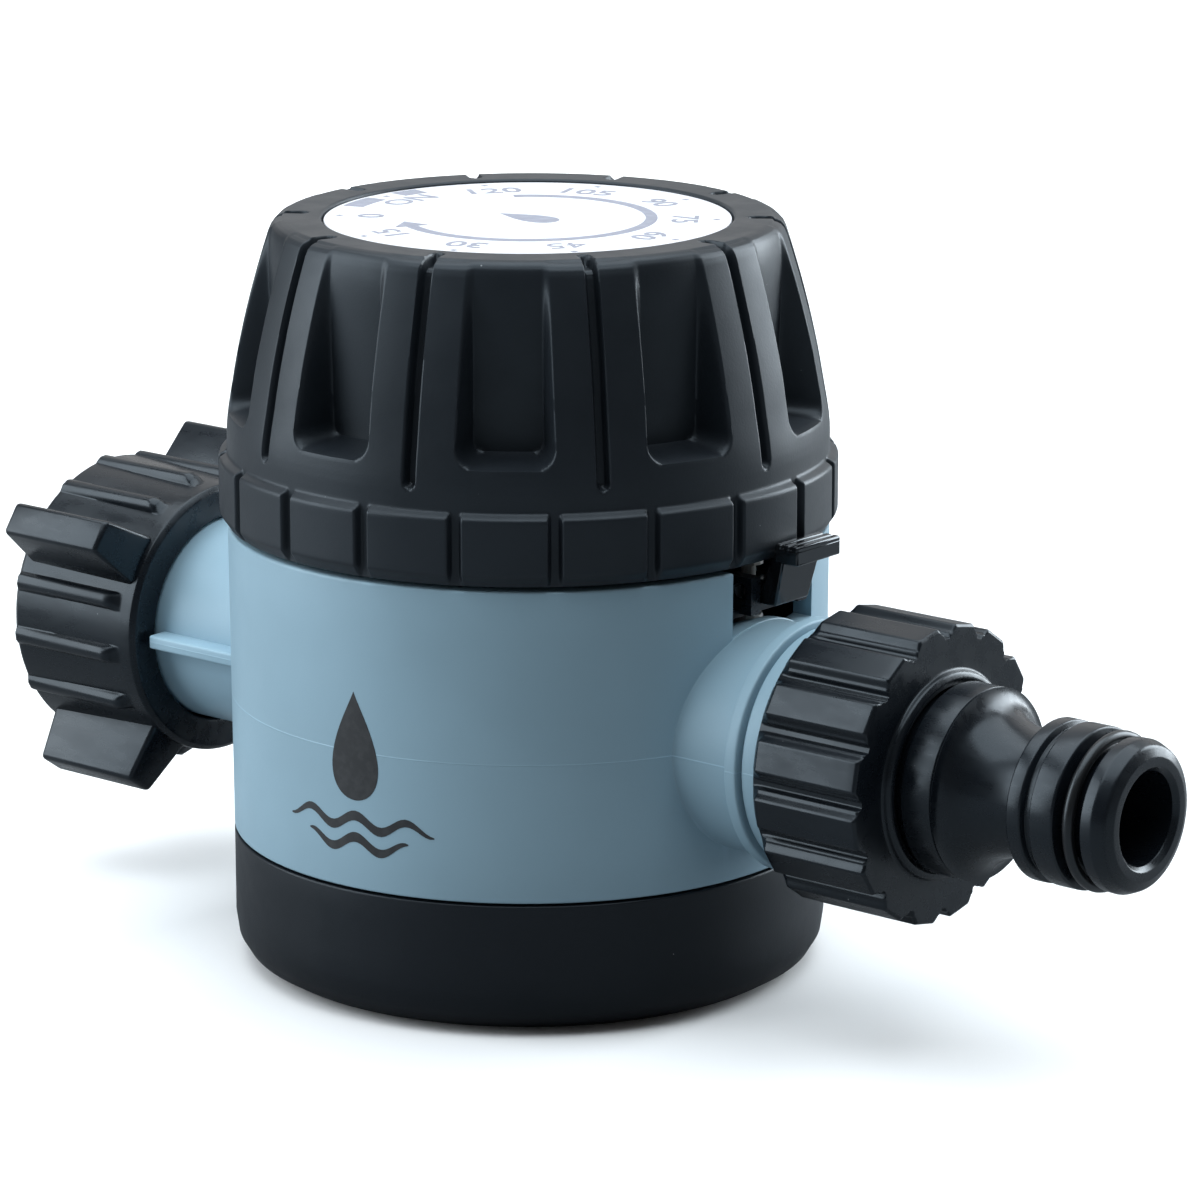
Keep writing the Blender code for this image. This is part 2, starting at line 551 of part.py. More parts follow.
def make_lever():
    y0, y1 = LEVER_Y - 2.9, LEVER_Y + 2.9
    bracket = block("lever_bracket", (25.8, -4.8, 43.2), (30.6, 9.8, 44.1), GLOSS_BLACK)
    for index, span in enumerate(((y0 - 2.0, y0 - 0.4), (y1 + 0.4, y1 + 2.0))):
        join(bracket, block(f"bracket_ear_{index}", (28.9, span[0], 43.6), (32.2, span[1], 47.7)))
    cut(bracket,
        rod("bracket_pin_hole", 1.0, (LEVER_X, y0 - 3, LEVER_Z), (LEVER_X, y1 + 3, LEVER_Z), segments=16),
        rod("bracket_plunger_hole", 1.8, (PLUNGER_X, LEVER_Y, 42), (PLUNGER_X, LEVER_Y, 45), segments=16))
    rod("lever_pin", 0.7, (LEVER_X, y0 - 1.9, LEVER_Z), (LEVER_X, y1 + 1.9, LEVER_Z), STEEL, segments=12)

    bm = bmesh.new()
    made = bmesh.ops.create_cube(bm, size=2.0)["verts"]
    for vert in made:
        high = vert.co.z > 0
        outer = vert.co.x > 0
        x = (35.3 if outer else 33.75) if high else (33.2 if outer else 31.2)
        vert.co = Vector((x, LEVER_Y + math.copysign(2.9, vert.co.y), 50.0 if high else 44.5))
    lever = mesh_object("bypass_lever", bm, GLOSS_BLACK, smooth=False)
    barrel = rod("lever_barrel", 1.7, (LEVER_X, y0, LEVER_Z), (LEVER_X, y1, LEVER_Z), segments=20)
    web = block("lever_web", (LEVER_X, y0 + 0.02, LEVER_Z - 1.2), (32.6, y1 - 0.02, LEVER_Z + 1.2))
    tab = block("lever_tab", (34.45, LEVER_Y - 3.8, 49.6), (37.5, LEVER_Y + 3.8, 51.7))
    prongs = [block(f"lever_prong_{k}", (27.0, LEVER_Y + low, 45.4), (LEVER_X, LEVER_Y + low + 0.9, 46.6))
              for k, low in enumerate((-2.1, 1.2))]
    join(lever, barrel, web, tab, *prongs)
    grooves = [block(f"tab_groove_{k}", (x, LEVER_Y - 4.5, 51.3), (x + 0.45, LEVER_Y + 4.5, 52.5))
               for k, x in enumerate((35.2, 36.2))]
    pin_hole = rod("lever_pin_hole", 1.0, (LEVER_X, y0 - 1, LEVER_Z), (LEVER_X, y1 + 1, LEVER_Z), segments=16)
    cut(lever, pin_hole, *grooves)
    set_origin(lever, (LEVER_X, LEVER_Y, LEVER_Z))

    turned("bypass_plunger", [
        (0, 48.5), (1.6, 48.5), (1.6, 47.9), (0.8, 47.9), (0.8, 42.6), (1.6, 42.4), (1.6, 41.2), (1.0, 41.1),
        (1.0, 40.1), (1.6, 40.0), (1.6, 39.0), (0, 39.0)], WHITE_PLASTIC, segments=12).location = (
        PLUNGER_X * MM, LEVER_Y * MM, 0)
    turned("plunger_oring", ring_section(1.55, 40.6, 0.35, 6), RUBBER, segments=12).location = (
        PLUNGER_X * MM, LEVER_Y * MM, 0)


def set_origin(obj, spot):
    """Move an object's origin, in millimetres, without moving its mesh."""
    shift = Vector(spot) * MM - obj.location
    obj.data.transform(Matrix.Translation(-shift))
    obj.location += shift


# ---------------------------------------------------------------- clockwork

def gear(bm, teeth, module, low, high, phase=0.0):
    """A flat spur wheel about local Z."""
    pitch = teeth * module / 2
    root, tip = pitch - 0.85 * module, pitch + 0.6 * module
    outline = []
    for tooth in range(teeth):
        for radius, part in ((root, -0.33), (tip, -0.12), (tip, 0.12), (root, 0.33)):
            angle = math.radians(phase) + 2 * math.pi * (tooth + part) / teeth
            outline.append((radius * math.cos(angle), radius * math.sin(angle)))
    extrude_outline(bm, outline, low, high)


def extrude_outline(bm, outline, low, high):
    """A flat plate of the outline between two heights."""
    face = bm.faces.new([bm.verts.new((x, y, low)) for x, y in outline])
    made = bmesh.ops.extrude_face_region(bm, geom=[face])["geom"]
    lifted = [item for item in made if isinstance(item, bmesh.types.BMVert)]
    bmesh.ops.translate(bm, vec=(0, 0, high - low), verts=lifted)


def ratchet_outline(teeth, tip, root):
    """Pointed, raked teeth of an escape wheel."""
    outline = []
    for tooth in range(teeth):
        for radius, part in ((root, 0.0), (tip, 0.28), (tip - 0.15, 0.42), (root, 0.55)):
            angle = 2 * math.pi * (tooth + part) / teeth
            outline.append((radius * math.cos(angle), radius * math.sin(angle)))
    return outline


def gear_object(name, teeth, low, high, phase, centre, look):
    bm = bmesh.new()
    gear(bm, teeth, GEAR_MODULE, low, high, phase)
    obj = mesh_object(name, bm, look, smooth=False)
    obj.location = centre * MM
    return obj


SECOND_CENTRE = Vector((0.0, (GREAT_TEETH + PINION_TEETH) * GEAR_MODULE / 2 + 0.25, 0.0))
SECOND_TO_ESCAPE = (SECOND_TEETH + PINION_TEETH) * GEAR_MODULE / 2 + 0.25
ESCAPE_CENTRE = SECOND_CENTRE + polar(SECOND_TO_ESCAPE, 202.0)
ANCHOR_CENTRE = ESCAPE_CENTRE + polar(7.6, 230.0)
GREAT_Z = (59.5, 61.0)
SECOND_Z = (56.2, 57.6)
ESCAPE_Z = (63.0, 64.0)


def make_clockwork():
    base = rod("clock_base_plate", CLOCK_PLATE_R, (0, 0, CLOCK_BASE_Z), (0, 0, CLOCK_BASE_Z + PLATE_T),
               STEEL, segments=32)
    top = rod("clock_top_plate", CLOCK_PLATE_R, (0, 0, CLOCK_TOP_Z), (0, 0, CLOCK_TOP_Z + PLATE_T),
              STEEL, segments=32)
    low_z, high_z = CLOCK_BASE_Z - 1, CLOCK_TOP_Z + PLATE_T + 1
    holes = [(Vector((0, 0, 0)), 2.5), (SECOND_CENTRE, 1.1), (ESCAPE_CENTRE, 1.1), (ANCHOR_CENTRE, 1.1)]
    holes += [(polar(PILLAR_R, angle), 1.0) for angle in PILLAR_ANGLES]
    for index, (spot, radius) in enumerate(holes):
        up = Vector((0, 0, 1))
        hole = rod(f"plate_hole_{index}", radius, spot + up * low_z, spot + up * high_z, segments=10)
        cut(base, hole)
        cut(top, hole)
    for index, angle in enumerate(PILLAR_ANGLES):
        spot = polar(PILLAR_R, angle)
        up = Vector((0, 0, 1))
        pillar = rod(f"clock_pillar_{index + 1}", 1.9, spot + up * (CLOCK_BASE_Z + PLATE_T + GAP),
                     spot + up * (CLOCK_TOP_Z - GAP), BRASS, segments=12)
        cut(pillar, rod(f"pillar_bore_{index}", 1.05, spot + up * 50, spot + up * 75, segments=8))
        screw(f"clock_screw_{index + 1}", spot.xy, CLOCK_TOP_Z + PLATE_T + 0.2, 1.0, 1.8, 53.4, 0.7)

    arbor = turned("main_arbor", [
        (0, 52.0), (1.9, 52.0), (2.2, 52.3), (2.2, 80.2), (1.3, 80.2), (1.3, 74.5), (0, 74.5)], STEEL,
        segments=16)
    cut(arbor, block("arbor_flat", (1.6, -3.0, 75.5), (3.0, 3.0, 81.0)))
    great = gear_object("great_wheel", GREAT_TEETH, *GREAT_Z, 90.0, Vector((0, 0, 0)), BRASS)
    cut(great, rod("great_wheel_bore", 2.5, (0, 0, 58), (0, 0, 63), segments=20))

    def crossing(bm):
        taper_block(bm, (58.0, 58.0), (63.0, 63.0), (4.4, 1.4), (8.0, 3.0))

    cut(great, copies("great_wheel_crossings", crossing, evenly(5)))

    mesh_angle = 270.0
    second = gear_object("second_wheel", SECOND_TEETH, *SECOND_Z, 202.0, SECOND_CENTRE, WHITE_PLASTIC)
    pinion = gear_object("second_pinion", PINION_TEETH, 57.3, 61.6, mesh_angle + 180.0 / PINION_TEETH,
                         SECOND_CENTRE, None)
    join(second, pinion, staff("second_staff", SECOND_CENTRE))
    escape = gear_object("escape_wheel", PINION_TEETH, 55.4, 58.6, 22.0 + 180.0 / PINION_TEETH,
                         ESCAPE_CENTRE, WHITE_PLASTIC)
    bm = bmesh.new()
    extrude_outline(bm, ratchet_outline(ESCAPE_TEETH, 5.2, 4.0), *ESCAPE_Z)
    ratchet = mesh_object("escape_teeth", bm, smooth=False)
    ratchet.location = ESCAPE_CENTRE * MM
    join(escape, ratchet, staff("escape_staff", ESCAPE_CENTRE))
    make_anchor()
    make_mainspring()


def staff(name, spot, look=None):
    """A wheel's shaft with thinner pivots in the two plates."""
    foot, head = CLOCK_BASE_Z + 0.1, CLOCK_TOP_Z + 1.1
    shoulder_low, shoulder_high = CLOCK_BASE_Z + PLATE_T + 0.4, CLOCK_TOP_Z - 0.4
    obj = turned(name, [
        (0, foot), (0.8, foot), (0.8, shoulder_low), (1.2, shoulder_low), (1.2, shoulder_high),
        (0.8, shoulder_high), (0.8, head), (0, head)], look, segments=10)
    obj.location = spot * MM
    return obj


def make_anchor():
    """The rocking anchor that lets the escape wheel through tooth by tooth, with its swing weight."""
    anchor = staff("escape_anchor", ANCHOR_CENTRE, BRASS)
    weight = turned("anchor_weight", [(4.4, 67.6), (6.0, 67.6), (6.0, 69.0), (4.4, 69.0)], segments=20)
    weight.location = ANCHOR_CENTRE * MM
    spoke = block("anchor_spoke", (-5.2, -0.6, 67.9), (5.2, 0.6, 68.7))
    spoke.location = ANCHOR_CENTRE * MM
    spoke.rotation_euler = (0, 0, math.radians(50.0))
    low, high = ESCAPE_Z[0] - 0.1, ESCAPE_Z[1] + 0.1
    arm = block("anchor_arm", (-0.5, -4.1, low), (0.7, 4.1, high))
    tips = [block(f"anchor_pallet_{k}", (-0.5, y - 0.35, low), (3.1, y + 0.35, high))
            for k, y in enumerate((-3.7, 3.7))]
    for piece in (arm, *tips):
        piece.location = ANCHOR_CENTRE * MM
        piece.rotation_euler = (0, 0, math.radians(50.0))
    join(anchor, arm, *tips, spoke, weight)


def make_mainspring():
    """A flat ribbon wound in a spiral about the main arbor."""
    turns, per_turn = 3.0, 16
    inner_r, outer_r, low, high = 3.2, 11.2, 65.4, 67.2
    bm = bmesh.new()
    previous = None
    for index in range(int(turns * per_turn) + 1):
        part = index / (turns * per_turn)
        spot = polar(inner_r + (outer_r - inner_r) * part, 360.0 * turns * part)
        pair = [bm.verts.new((spot.x, spot.y, z)) for z in (low, high)]
        if previous:
            bm.faces.new((previous[0], pair[0], pair[1], previous[1]))
        previous = pair
    spring = mesh_object("mainspring", bm, STEEL)
    ribbon = spring.modifiers.new("Ribbon", 'SOLIDIFY')
    ribbon.thickness = 0.35 * MM
    ribbon.offset = 0.0


# ---------------------------------------------------------------- dial

SKIRT = ((33.2, 58.6), (32.7, 64.4), (31.6, 70.5), (30.1, 76.4), (28.9, 80.4), (28.2, 82.3),
         (26.9, DIAL_TOP_Z))


def make_dial():
    knob = turned("dial_knob", [
        (0, 82.3), (LABEL_R + 0.2, 82.3), (LABEL_R + 0.2, 82.9), (22.7, DIAL_TOP_Z), *reversed(SKIRT),
        (34.1, 57.0), (34.1, 51.2), (33.2, DIAL_BOTTOM_Z), (32.1, DIAL_BOTTOM_Z),
        (32.1, 59.4), (26.2, 60.6), (25.6, 78.6), (24.6, 79.8), (5.6, 79.8), (5.4, 75.4), (2.5, 75.4),
        (2.5, 80.5), (0, 80.5)], SATIN_BLACK, segments=50)

    def pocket(bm):
        made = bmesh.ops.create_cube(bm, size=2.0)["verts"]
        for vert in made:
            high, outer = vert.co.z > 0, vert.co.x > 0
            radius = 40.0 if outer else (29.0 if high else POCKET_FLOOR_R)
            half = (4.6 if high else 5.2) if outer else 3.8
            vert.co = Vector((radius, math.copysign(half, vert.co.y), 80.6 if high else 61.3))

    def groove(bm):
        made = bmesh.ops.create_cube(bm, size=2.0)["verts"]
        for vert in made:
            high, outer = vert.co.z > 0, vert.co.x > 0
            radius = 40.0 if outer else (26.6 if high else 31.9)
            vert.co = Vector((radius, math.copysign(0.6, vert.co.y), 82.4 if high else 60.0))

    def rim_notch(bm):
        taper_block(bm, (82.3, 82.3), (90.0, 90.0), (24.3, 0.65), (40.0, 0.65))

    def band_gap(bm):
        taper_block(bm, (48.0, 48.0), (57.6, 59.0), (33.3, 0.6), (40.0, 0.6))

    cut(knob, copies("dial_pockets", pocket, evenly(DIAL_PANELS, 180.0 / DIAL_PANELS)))
    cut(knob, copies("dial_grooves", groove, evenly(DIAL_PANELS)))
    cut(knob, copies("dial_rim_notches", rim_notch, evenly(DIAL_PANELS)))
    cut(knob, copies("dial_band_gaps", band_gap, evenly(DIAL_BLOCKS, 180.0 / DIAL_BLOCKS)))
    cut(knob, rod("dial_screw_hole", 1.3, (0, 0, 79.0), (0, 0, 84.0), segments=16),
        rod("dial_screw_head_room", 2.6, (0, 0, 81.2), (0, 0, 84.0), segments=20))
    screw("dial_screw", (0, 0), 81.4, 0.7, 2.3, 75.6, 0.95)
    rod("dial_label", LABEL_R, (0, 0, 82.4), (0, 0, LABEL_TOP_Z), LABEL_WHITE, segments=48)
    make_cam()


def make_cam():
    """A ring whose underside falls steadily round the dial, so that it presses the pilot stem down."""
    inner, outer, top = 25.9, 30.6, 59.0
    steps = 45
    bm = bmesh.new()
    rings = []
    for index in range(steps + 1):
        turned_by = DIAL_TRAVEL * index / steps
        low = CAM_Z - PILOT_TRAVEL * turned_by / DIAL_TRAVEL
        azimuth = 90.0 - turned_by
        rings.append([bm.verts.new(polar(r, azimuth, z)) for r, z in
                      ((inner, low), (outer, low), (outer, top), (inner, top))])
    for here, there in zip(rings, rings[1:]):
        for k in range(4):
            bm.faces.new((here[k], here[(k + 1) % 4], there[(k + 1) % 4], there[k]))
    bm.faces.new(rings[0])
    bm.faces.new(rings[-1])
    mesh_object("dial_cam_ring", bm, WHITE_PLASTIC)


make_body()
make_base()
make_deck()
make_valve()
make_pilot()
make_inlet()
make_outlet()
make_lever()
make_clockwork()
make_dial()
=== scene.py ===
"""Looks of the drip irrigation timer: fine moulded surfaces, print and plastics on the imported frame.

Shapes are in millimetres in the part's own frame (origin under the base, +Z up, +X to the hose
outlet) and become metres through MM. Lights, camera and floor are in metres.
"""
import json
import math

import bmesh
import bpy
import numpy as np
from mathutils import Matrix, Vector


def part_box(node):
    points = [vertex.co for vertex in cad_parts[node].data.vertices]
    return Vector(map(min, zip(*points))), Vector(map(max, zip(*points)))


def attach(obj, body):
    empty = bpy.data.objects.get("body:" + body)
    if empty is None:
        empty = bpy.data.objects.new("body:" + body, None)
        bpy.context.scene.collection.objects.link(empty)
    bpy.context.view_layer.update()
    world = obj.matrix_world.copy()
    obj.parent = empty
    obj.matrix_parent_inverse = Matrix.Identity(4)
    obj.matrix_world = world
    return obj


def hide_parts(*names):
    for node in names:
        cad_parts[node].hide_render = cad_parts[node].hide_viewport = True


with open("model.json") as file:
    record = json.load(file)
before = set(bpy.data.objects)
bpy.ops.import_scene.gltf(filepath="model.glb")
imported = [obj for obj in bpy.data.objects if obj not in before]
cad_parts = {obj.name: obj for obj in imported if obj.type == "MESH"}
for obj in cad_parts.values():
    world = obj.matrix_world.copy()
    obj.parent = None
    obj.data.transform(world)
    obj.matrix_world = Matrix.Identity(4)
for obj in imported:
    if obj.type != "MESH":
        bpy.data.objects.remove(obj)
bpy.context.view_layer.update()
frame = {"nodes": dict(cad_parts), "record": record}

MM = 0.001

# ------------------------------------------------------------------ sizes, read from the frame


def node_range(node, axis):
    """Lowest and highest coordinate of a CAD node along an axis, in millimetres."""
    low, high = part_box(node)
    return low[axis] / MM, high[axis] / MM


BASE_LOW, _ = node_range("base_cap", 2)
BASE_R = node_range("base_cap", 0)[1]
SEAM_Z, BODY_TOP_Z = node_range("body_housing", 2)
BODY_TOP_R = node_range("body_housing", 1)[1]
BODY_INNER_R = 30.8
DIAL_LOW_Z, DIAL_TOP_Z = node_range("dial_knob", 2)
DIAL_BAND_R = 34.1
LABEL_R = node_range("dial_label", 0)[1]
LABEL_TOP_Z = node_range("dial_label", 2)[1]
STUB_END_X = node_range("body_housing", 0)[1]
INLET_END = -node_range("body_housing", 0)[0]
NUT_BACK_X, NUT_FRONT_X = node_range("outlet_nut", 0)
NIPPLE_BACK_X, NIPPLE_END_X = node_range("hose_nipple", 0)
NIPPLE_BORE_R = 4.97
PIPE_Z = sum(node_range("hose_nipple", 2)) / 2
ORING_X = sum(node_range("nipple_oring", 0)) / 2
LEVER_Y = sum(node_range("bypass_lever", 1)) / 2

ROUND_STEPS = 5
BEVEL_STEPS = 3
SMOOTH_ANGLE = 38.0
CRISP_ANGLE = 50.0


# ------------------------------------------------------------------ mesh helpers

def link(obj):
    """Put an object in the scene, once."""
    if obj.name not in bpy.context.scene.collection.objects:
        bpy.context.scene.collection.objects.link(obj)


def keep(obj, look, body, slot, *nodes):
    """Finish a piece: its look, the body it rides on and the CAD nodes it stands for; slot is not used."""
    obj.data.materials.clear()
    obj.data.materials.append(LOOKS[look])
    link(obj)
    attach(obj, body)
    if nodes:
        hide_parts(*nodes)


def mesh_from(name, bm):
    """A mesh from a bmesh, which is freed."""
    mesh = bpy.data.meshes.new(name)
    bm.to_mesh(mesh)
    bm.free()
    return mesh


def to_metres(bm):
    """Scale a bmesh from millimetres to metres and turn its faces outwards."""
    bmesh.ops.scale(bm, vec=(MM, MM, MM), verts=bm.verts)
    bmesh.ops.recalc_face_normals(bm, faces=bm.faces)


def shaded(obj, sharp=SMOOTH_ANGLE):
    """Smooth shading, with the edges over an angle kept sharp."""
    obj.data.shade_smooth()
    obj.data.set_sharp_from_angle(angle=math.radians(sharp))
    return obj


def object_from(name, bm, sharp=SMOOTH_ANGLE):
    """A smooth object in metres from a bmesh in millimetres."""
    bmesh.ops.remove_doubles(bm, verts=bm.verts, dist=1e-5)
    to_metres(bm)
    return shaded(bpy.data.objects.new(name, mesh_from(name, bm)), sharp)


def rounded(corners):
    """A closed outline from (r, h, radius) corners, each rounded by a short curve."""
    points = []
    for index, (r, h, radius) in enumerate(corners):
        here = np.array((r, h), float)
        if radius == 0:
            points.append(here)
            continue
        back = np.array(corners[index - 1][:2], float) - here
        on = np.array(corners[(index + 1) % len(corners)][:2], float) - here
        back_length, on_length = np.linalg.norm(back), np.linalg.norm(on)
        cosine = float(np.clip(back @ on / (back_length * on_length), -1, 1))
        longest = 0.48 * min(back_length, on_length)
        setback = min(radius / math.tan(math.acos(cosine) / 2), longest)
        start, end = here + back / back_length * setback, here + on / on_length * setback
        for t in np.linspace(0, 1, ROUND_STEPS):
            points.append((1 - t) ** 2 * start + 2 * t * (1 - t) * here + t * t * end)
    return np.array(points)


def spread(outline, step, closed=True):
    """The outline with its long stretches divided, so that no edge is longer than step."""
    points = []
    for here, there in zip(outline, np.roll(outline, -1, axis=0)):
        count = max(1, math.ceil(np.linalg.norm(there - here) / step))
        points.append(here)
        points.extend(here + (there - here) * k / count for k in range(1, count))
    if not closed:
        del points[len(points) - count + 1:]
    return np.array(points)


def revolve(outline, degrees):
    """Radius, height and angle grids of an outline turned through the listed angles."""
    angle = np.radians(np.asarray(degrees))[None, :]
    r = outline[:, 0][:, None] + 0 * angle
    h = outline[:, 1][:, None] + 0 * angle
    return r, h, angle + 0 * r


def surface(bm, r, h, angle):
    """Add the closed ring surface of the grids to a bmesh about local Z."""
    rows, columns = r.shape
    x, y = r * np.cos(angle), r * np.sin(angle)
    made = [[bm.verts.new(spot) for spot in zip(x[i], y[i], h[i])] for i in range(rows)]
    for i in range(rows):
        here, there = made[i], made[(i + 1) % rows]
        for j in range(columns):
            k = (j + 1) % columns
            bm.faces.new((here[j], here[k], there[k], there[j]))


def even(count, start=0.0):
    """Angles in degrees at equal steps round a full turn."""
    return [start + 360.0 * k / count for k in range(count)]


def sector_columns(count, offsets, start=0.0):
    """Column angles with the same offsets, in degrees, in each of count equal sectors."""
    pitch = 360.0 / count
    return np.concatenate([start + pitch * k + np.asarray(offsets) for k in range(count)])


def turned(name, corners, columns=96, step=50.0, sharp=SMOOTH_ANGLE):
    """A plain turned piece about local Z."""
    bm = bmesh.new()
    surface(bm, *revolve(spread(rounded(corners), step), even(columns)))
    return object_from(name, bm, sharp)


def lay(obj, towards):
    """Lay a piece turned about Z along +X or -X at the pipe's height, in its mesh."""
    turn = Matrix.Rotation(math.copysign(math.pi / 2, towards), 4, 'Y')
    obj.data.transform(Matrix.Translation((0, 0, PIPE_Z * MM)) @ turn)
    return obj


def cylinder(name, radius, low, high, columns, x=0.0, y=0.0):
    """An upright cylinder between two heights."""
    obj = turned(name, [(0, low, 0), (radius, low, 0), (radius, high, 0), (0, high, 0)], columns)
    obj.location = (x * MM, y * MM, 0)
    return obj


def box_bm(bm, low, high, shape=None):
    """Add a box to a bmesh; shape(x, y, z) may move its corners."""
    made = bmesh.ops.create_cube(bm, size=1.0)["verts"]
    for vert in made:
        spot = [low[k] if vert.co[k] < 0 else high[k] for k in range(3)]
        vert.co = Vector(shape(*spot) if shape else spot)
    return made


def result_of(obj):
    """A new mesh of an object as it stands, with its modifiers."""
    link(obj)
    bpy.context.view_layer.update()
    graph = bpy.context.evaluated_depsgraph_get()
    return bpy.data.meshes.new_from_object(obj.evaluated_get(graph))


def applied(obj):
    """Put the result of an object's modifiers in its mesh."""
    result = result_of(obj)
    obj.modifiers.clear()
    obj.data = result
    return obj


def bevelled(obj, width):
    """Round an object's sharp edges, in its mesh."""
    modifier = obj.modifiers.new("Round", 'BEVEL')
    modifier.width = width * MM
    modifier.segments = BEVEL_STEPS
    modifier.limit_method = 'ANGLE'
    modifier.angle_limit = math.radians(35.0)
    modifier.use_clamp_overlap = True
    return applied(obj)


def boolean(obj, tool, operation):
    """Join or cut with a tool, in the mesh; the tool is removed."""
    link(tool)
    modifier = obj.modifiers.new("Cut", 'BOOLEAN')
    modifier.operation = operation
    modifier.solver = 'EXACT'
    modifier.object = tool
    applied(obj)
    bpy.data.objects.remove(tool)
    shaded(obj)


def merged(name, *objects):
    """One object of several meshes, which stay closed bodies of their own."""
    bm = bmesh.new()
    for obj in objects:
        bm.from_mesh(obj.data)
        bpy.data.objects.remove(obj)
    return bpy.data.objects.new(name, mesh_from(name, bm))


def smooth_step(value, low, high):
    """0 below low, 1 above high, with a smooth rise between."""
    t = np.clip((value - low) / (high - low), 0, 1)
    return t * t * (3 - 2 * t)


def inside(distance, half, edge):
    """1 within half of a centre line and 0 outside, with an edge of the given width."""
    return 1 - smooth_step(np.abs(distance), half - edge / 2, half + edge / 2)


def off_centre(angle, count, start=0.0):
    """Signed angle in radians to the nearest of count evenly spaced centres."""
    pitch = 2 * math.pi / count
    return (angle - math.radians(start) + pitch / 2) % pitch - pitch / 2


# ------------------------------------------------------------------ dial

PANELS = 10
BLOCKS = 20
DIAL_WALL_R = 26.8
DIAL_RIM_Z = DIAL_TOP_Z - 0.5
SKIRT_FOOT_R, SKIRT_FOOT_Z = 33.15, 59.5
SKIRT_FALL, SKIRT_RISE, SKIRT_POWER = 5.1, 23.5, 1.54
CROWN = 0.22
GROOVE_HALF, GROOVE_DEPTH, GROOVE_EDGE = 0.6, 1.25, 0.42
GROOVE_LOW_Z, GROOVE_END_R = 60.5, 24.9
POCKET_LOW_Z, POCKET_CORNER, POCKET_EDGE = 62.5, 1.8, 0.5
POCKET_REF_Z = 62.0
POCKET_HALF, POCKET_TAPER = 5.0, 0.05
POCKET_FLOOR_R, POCKET_LEAN = 27.75, 0.045
BLOCK_GAP_HALF, BLOCK_GAP_EDGE = 0.62, 0.5


def skirt_radius(z):
    """Outer radius of the dial's panels at a height."""
    return SKIRT_FOOT_R - SKIRT_FALL * max(0.0, (z - SKIRT_FOOT_Z) / SKIRT_RISE) ** SKIRT_POWER


def dial_columns():
    """Column angles, closest at the grooves' and the pockets' edges."""
    half = np.concatenate([
        np.arange(0, 1.8, 0.22), np.arange(1.8, 6.6, 0.7), np.arange(6.6, 11.4, 0.2),
        np.arange(11.4, 18, 0.75)])
    pitch = 360 // PANELS
    return sector_columns(PANELS, np.concatenate([half, pitch - half[:0:-1]]))


def normals_of(outline):
    """Unit normals of a closed outline that runs clockwise, pointing out."""
    along = np.roll(outline, -1, axis=0) - np.roll(outline, 1, axis=0)
    out = np.stack([-along[:, 1], along[:, 0]], axis=1)
    return out / np.linalg.norm(out, axis=1)[:, None]


def dial_outline():
    """The dial's half section, closely divided where the grip is shaped."""
    skirt = [(skirt_radius(z), z, 0) for z in np.linspace(80.2, 59.6, 22)]
    outline = rounded([
        (0, 82.3, 0), (LABEL_R + 0.2, 82.3, 0), (LABEL_R + 0.25, DIAL_TOP_Z - 0.25, 0.12),
        (22.7, DIAL_TOP_Z - 0.03, 0.3), (skirt_radius(DIAL_TOP_Z), DIAL_TOP_Z, 2.2), *skirt,
        (SKIRT_FOOT_R, 57.6, 0.45), (DIAL_BAND_R, 57.0, 0.55), (DIAL_BAND_R, 51.0, 0.8),
        (33.2, DIAL_LOW_Z, 0.3), (32.1, DIAL_LOW_Z, 0), (32.1, 59.4, 0), (26.2, 60.6, 0),
        (25.6, 78.6, 0), (24.6, 79.8, 0), (5.6, 79.8, 0), (5.4, 75.4, 0), (2.5, 75.4, 0),
        (2.5, 80.5, 0), (0, 80.5, 0)])
    outer = np.flatnonzero((outline[:, 0] > DIAL_WALL_R) | (outline[:, 1] > DIAL_RIM_Z))
    first, last = outer[0], outer[-1] + 1
    fine = spread(outline[first:last], 0.3, closed=False)
    return np.concatenate([outline[:first], fine, outline[last:]])


def groove_share(r, h, angle):
    """1 in the narrow grooves between the panels, which run over the rim, and 0 elsewhere."""
    below = np.maximum(0, GROOVE_LOW_Z - h)
    inward = np.where(h > DIAL_RIM_Z, np.maximum(0, GROOVE_END_R - r), 0)
    distance = np.hypot(np.hypot(r * off_centre(angle, PANELS), below), inward)
    return inside(distance, GROOVE_HALF, GROOVE_EDGE) * ((r > DIAL_WALL_R) | (h > DIAL_RIM_Z))


def pocket_share(r, h, angle):
    """1 in the finger pockets, which have round lower corners and narrow upwards, and 0 elsewhere."""
    half = POCKET_HALF - POCKET_TAPER * (h - POCKET_REF_Z)
    side = np.abs(r * off_centre(angle, PANELS, 180.0 / PANELS))
    across = side - (half - POCKET_CORNER)
    down = POCKET_LOW_Z + POCKET_CORNER - h
    distance = np.hypot(np.maximum(across, 0), np.maximum(down, 0))
    distance += np.minimum(np.maximum(across, down), 0) - POCKET_CORNER
    share = 1 - smooth_step(distance, -POCKET_EDGE, POCKET_EDGE)
    return share * (r > DIAL_WALL_R)


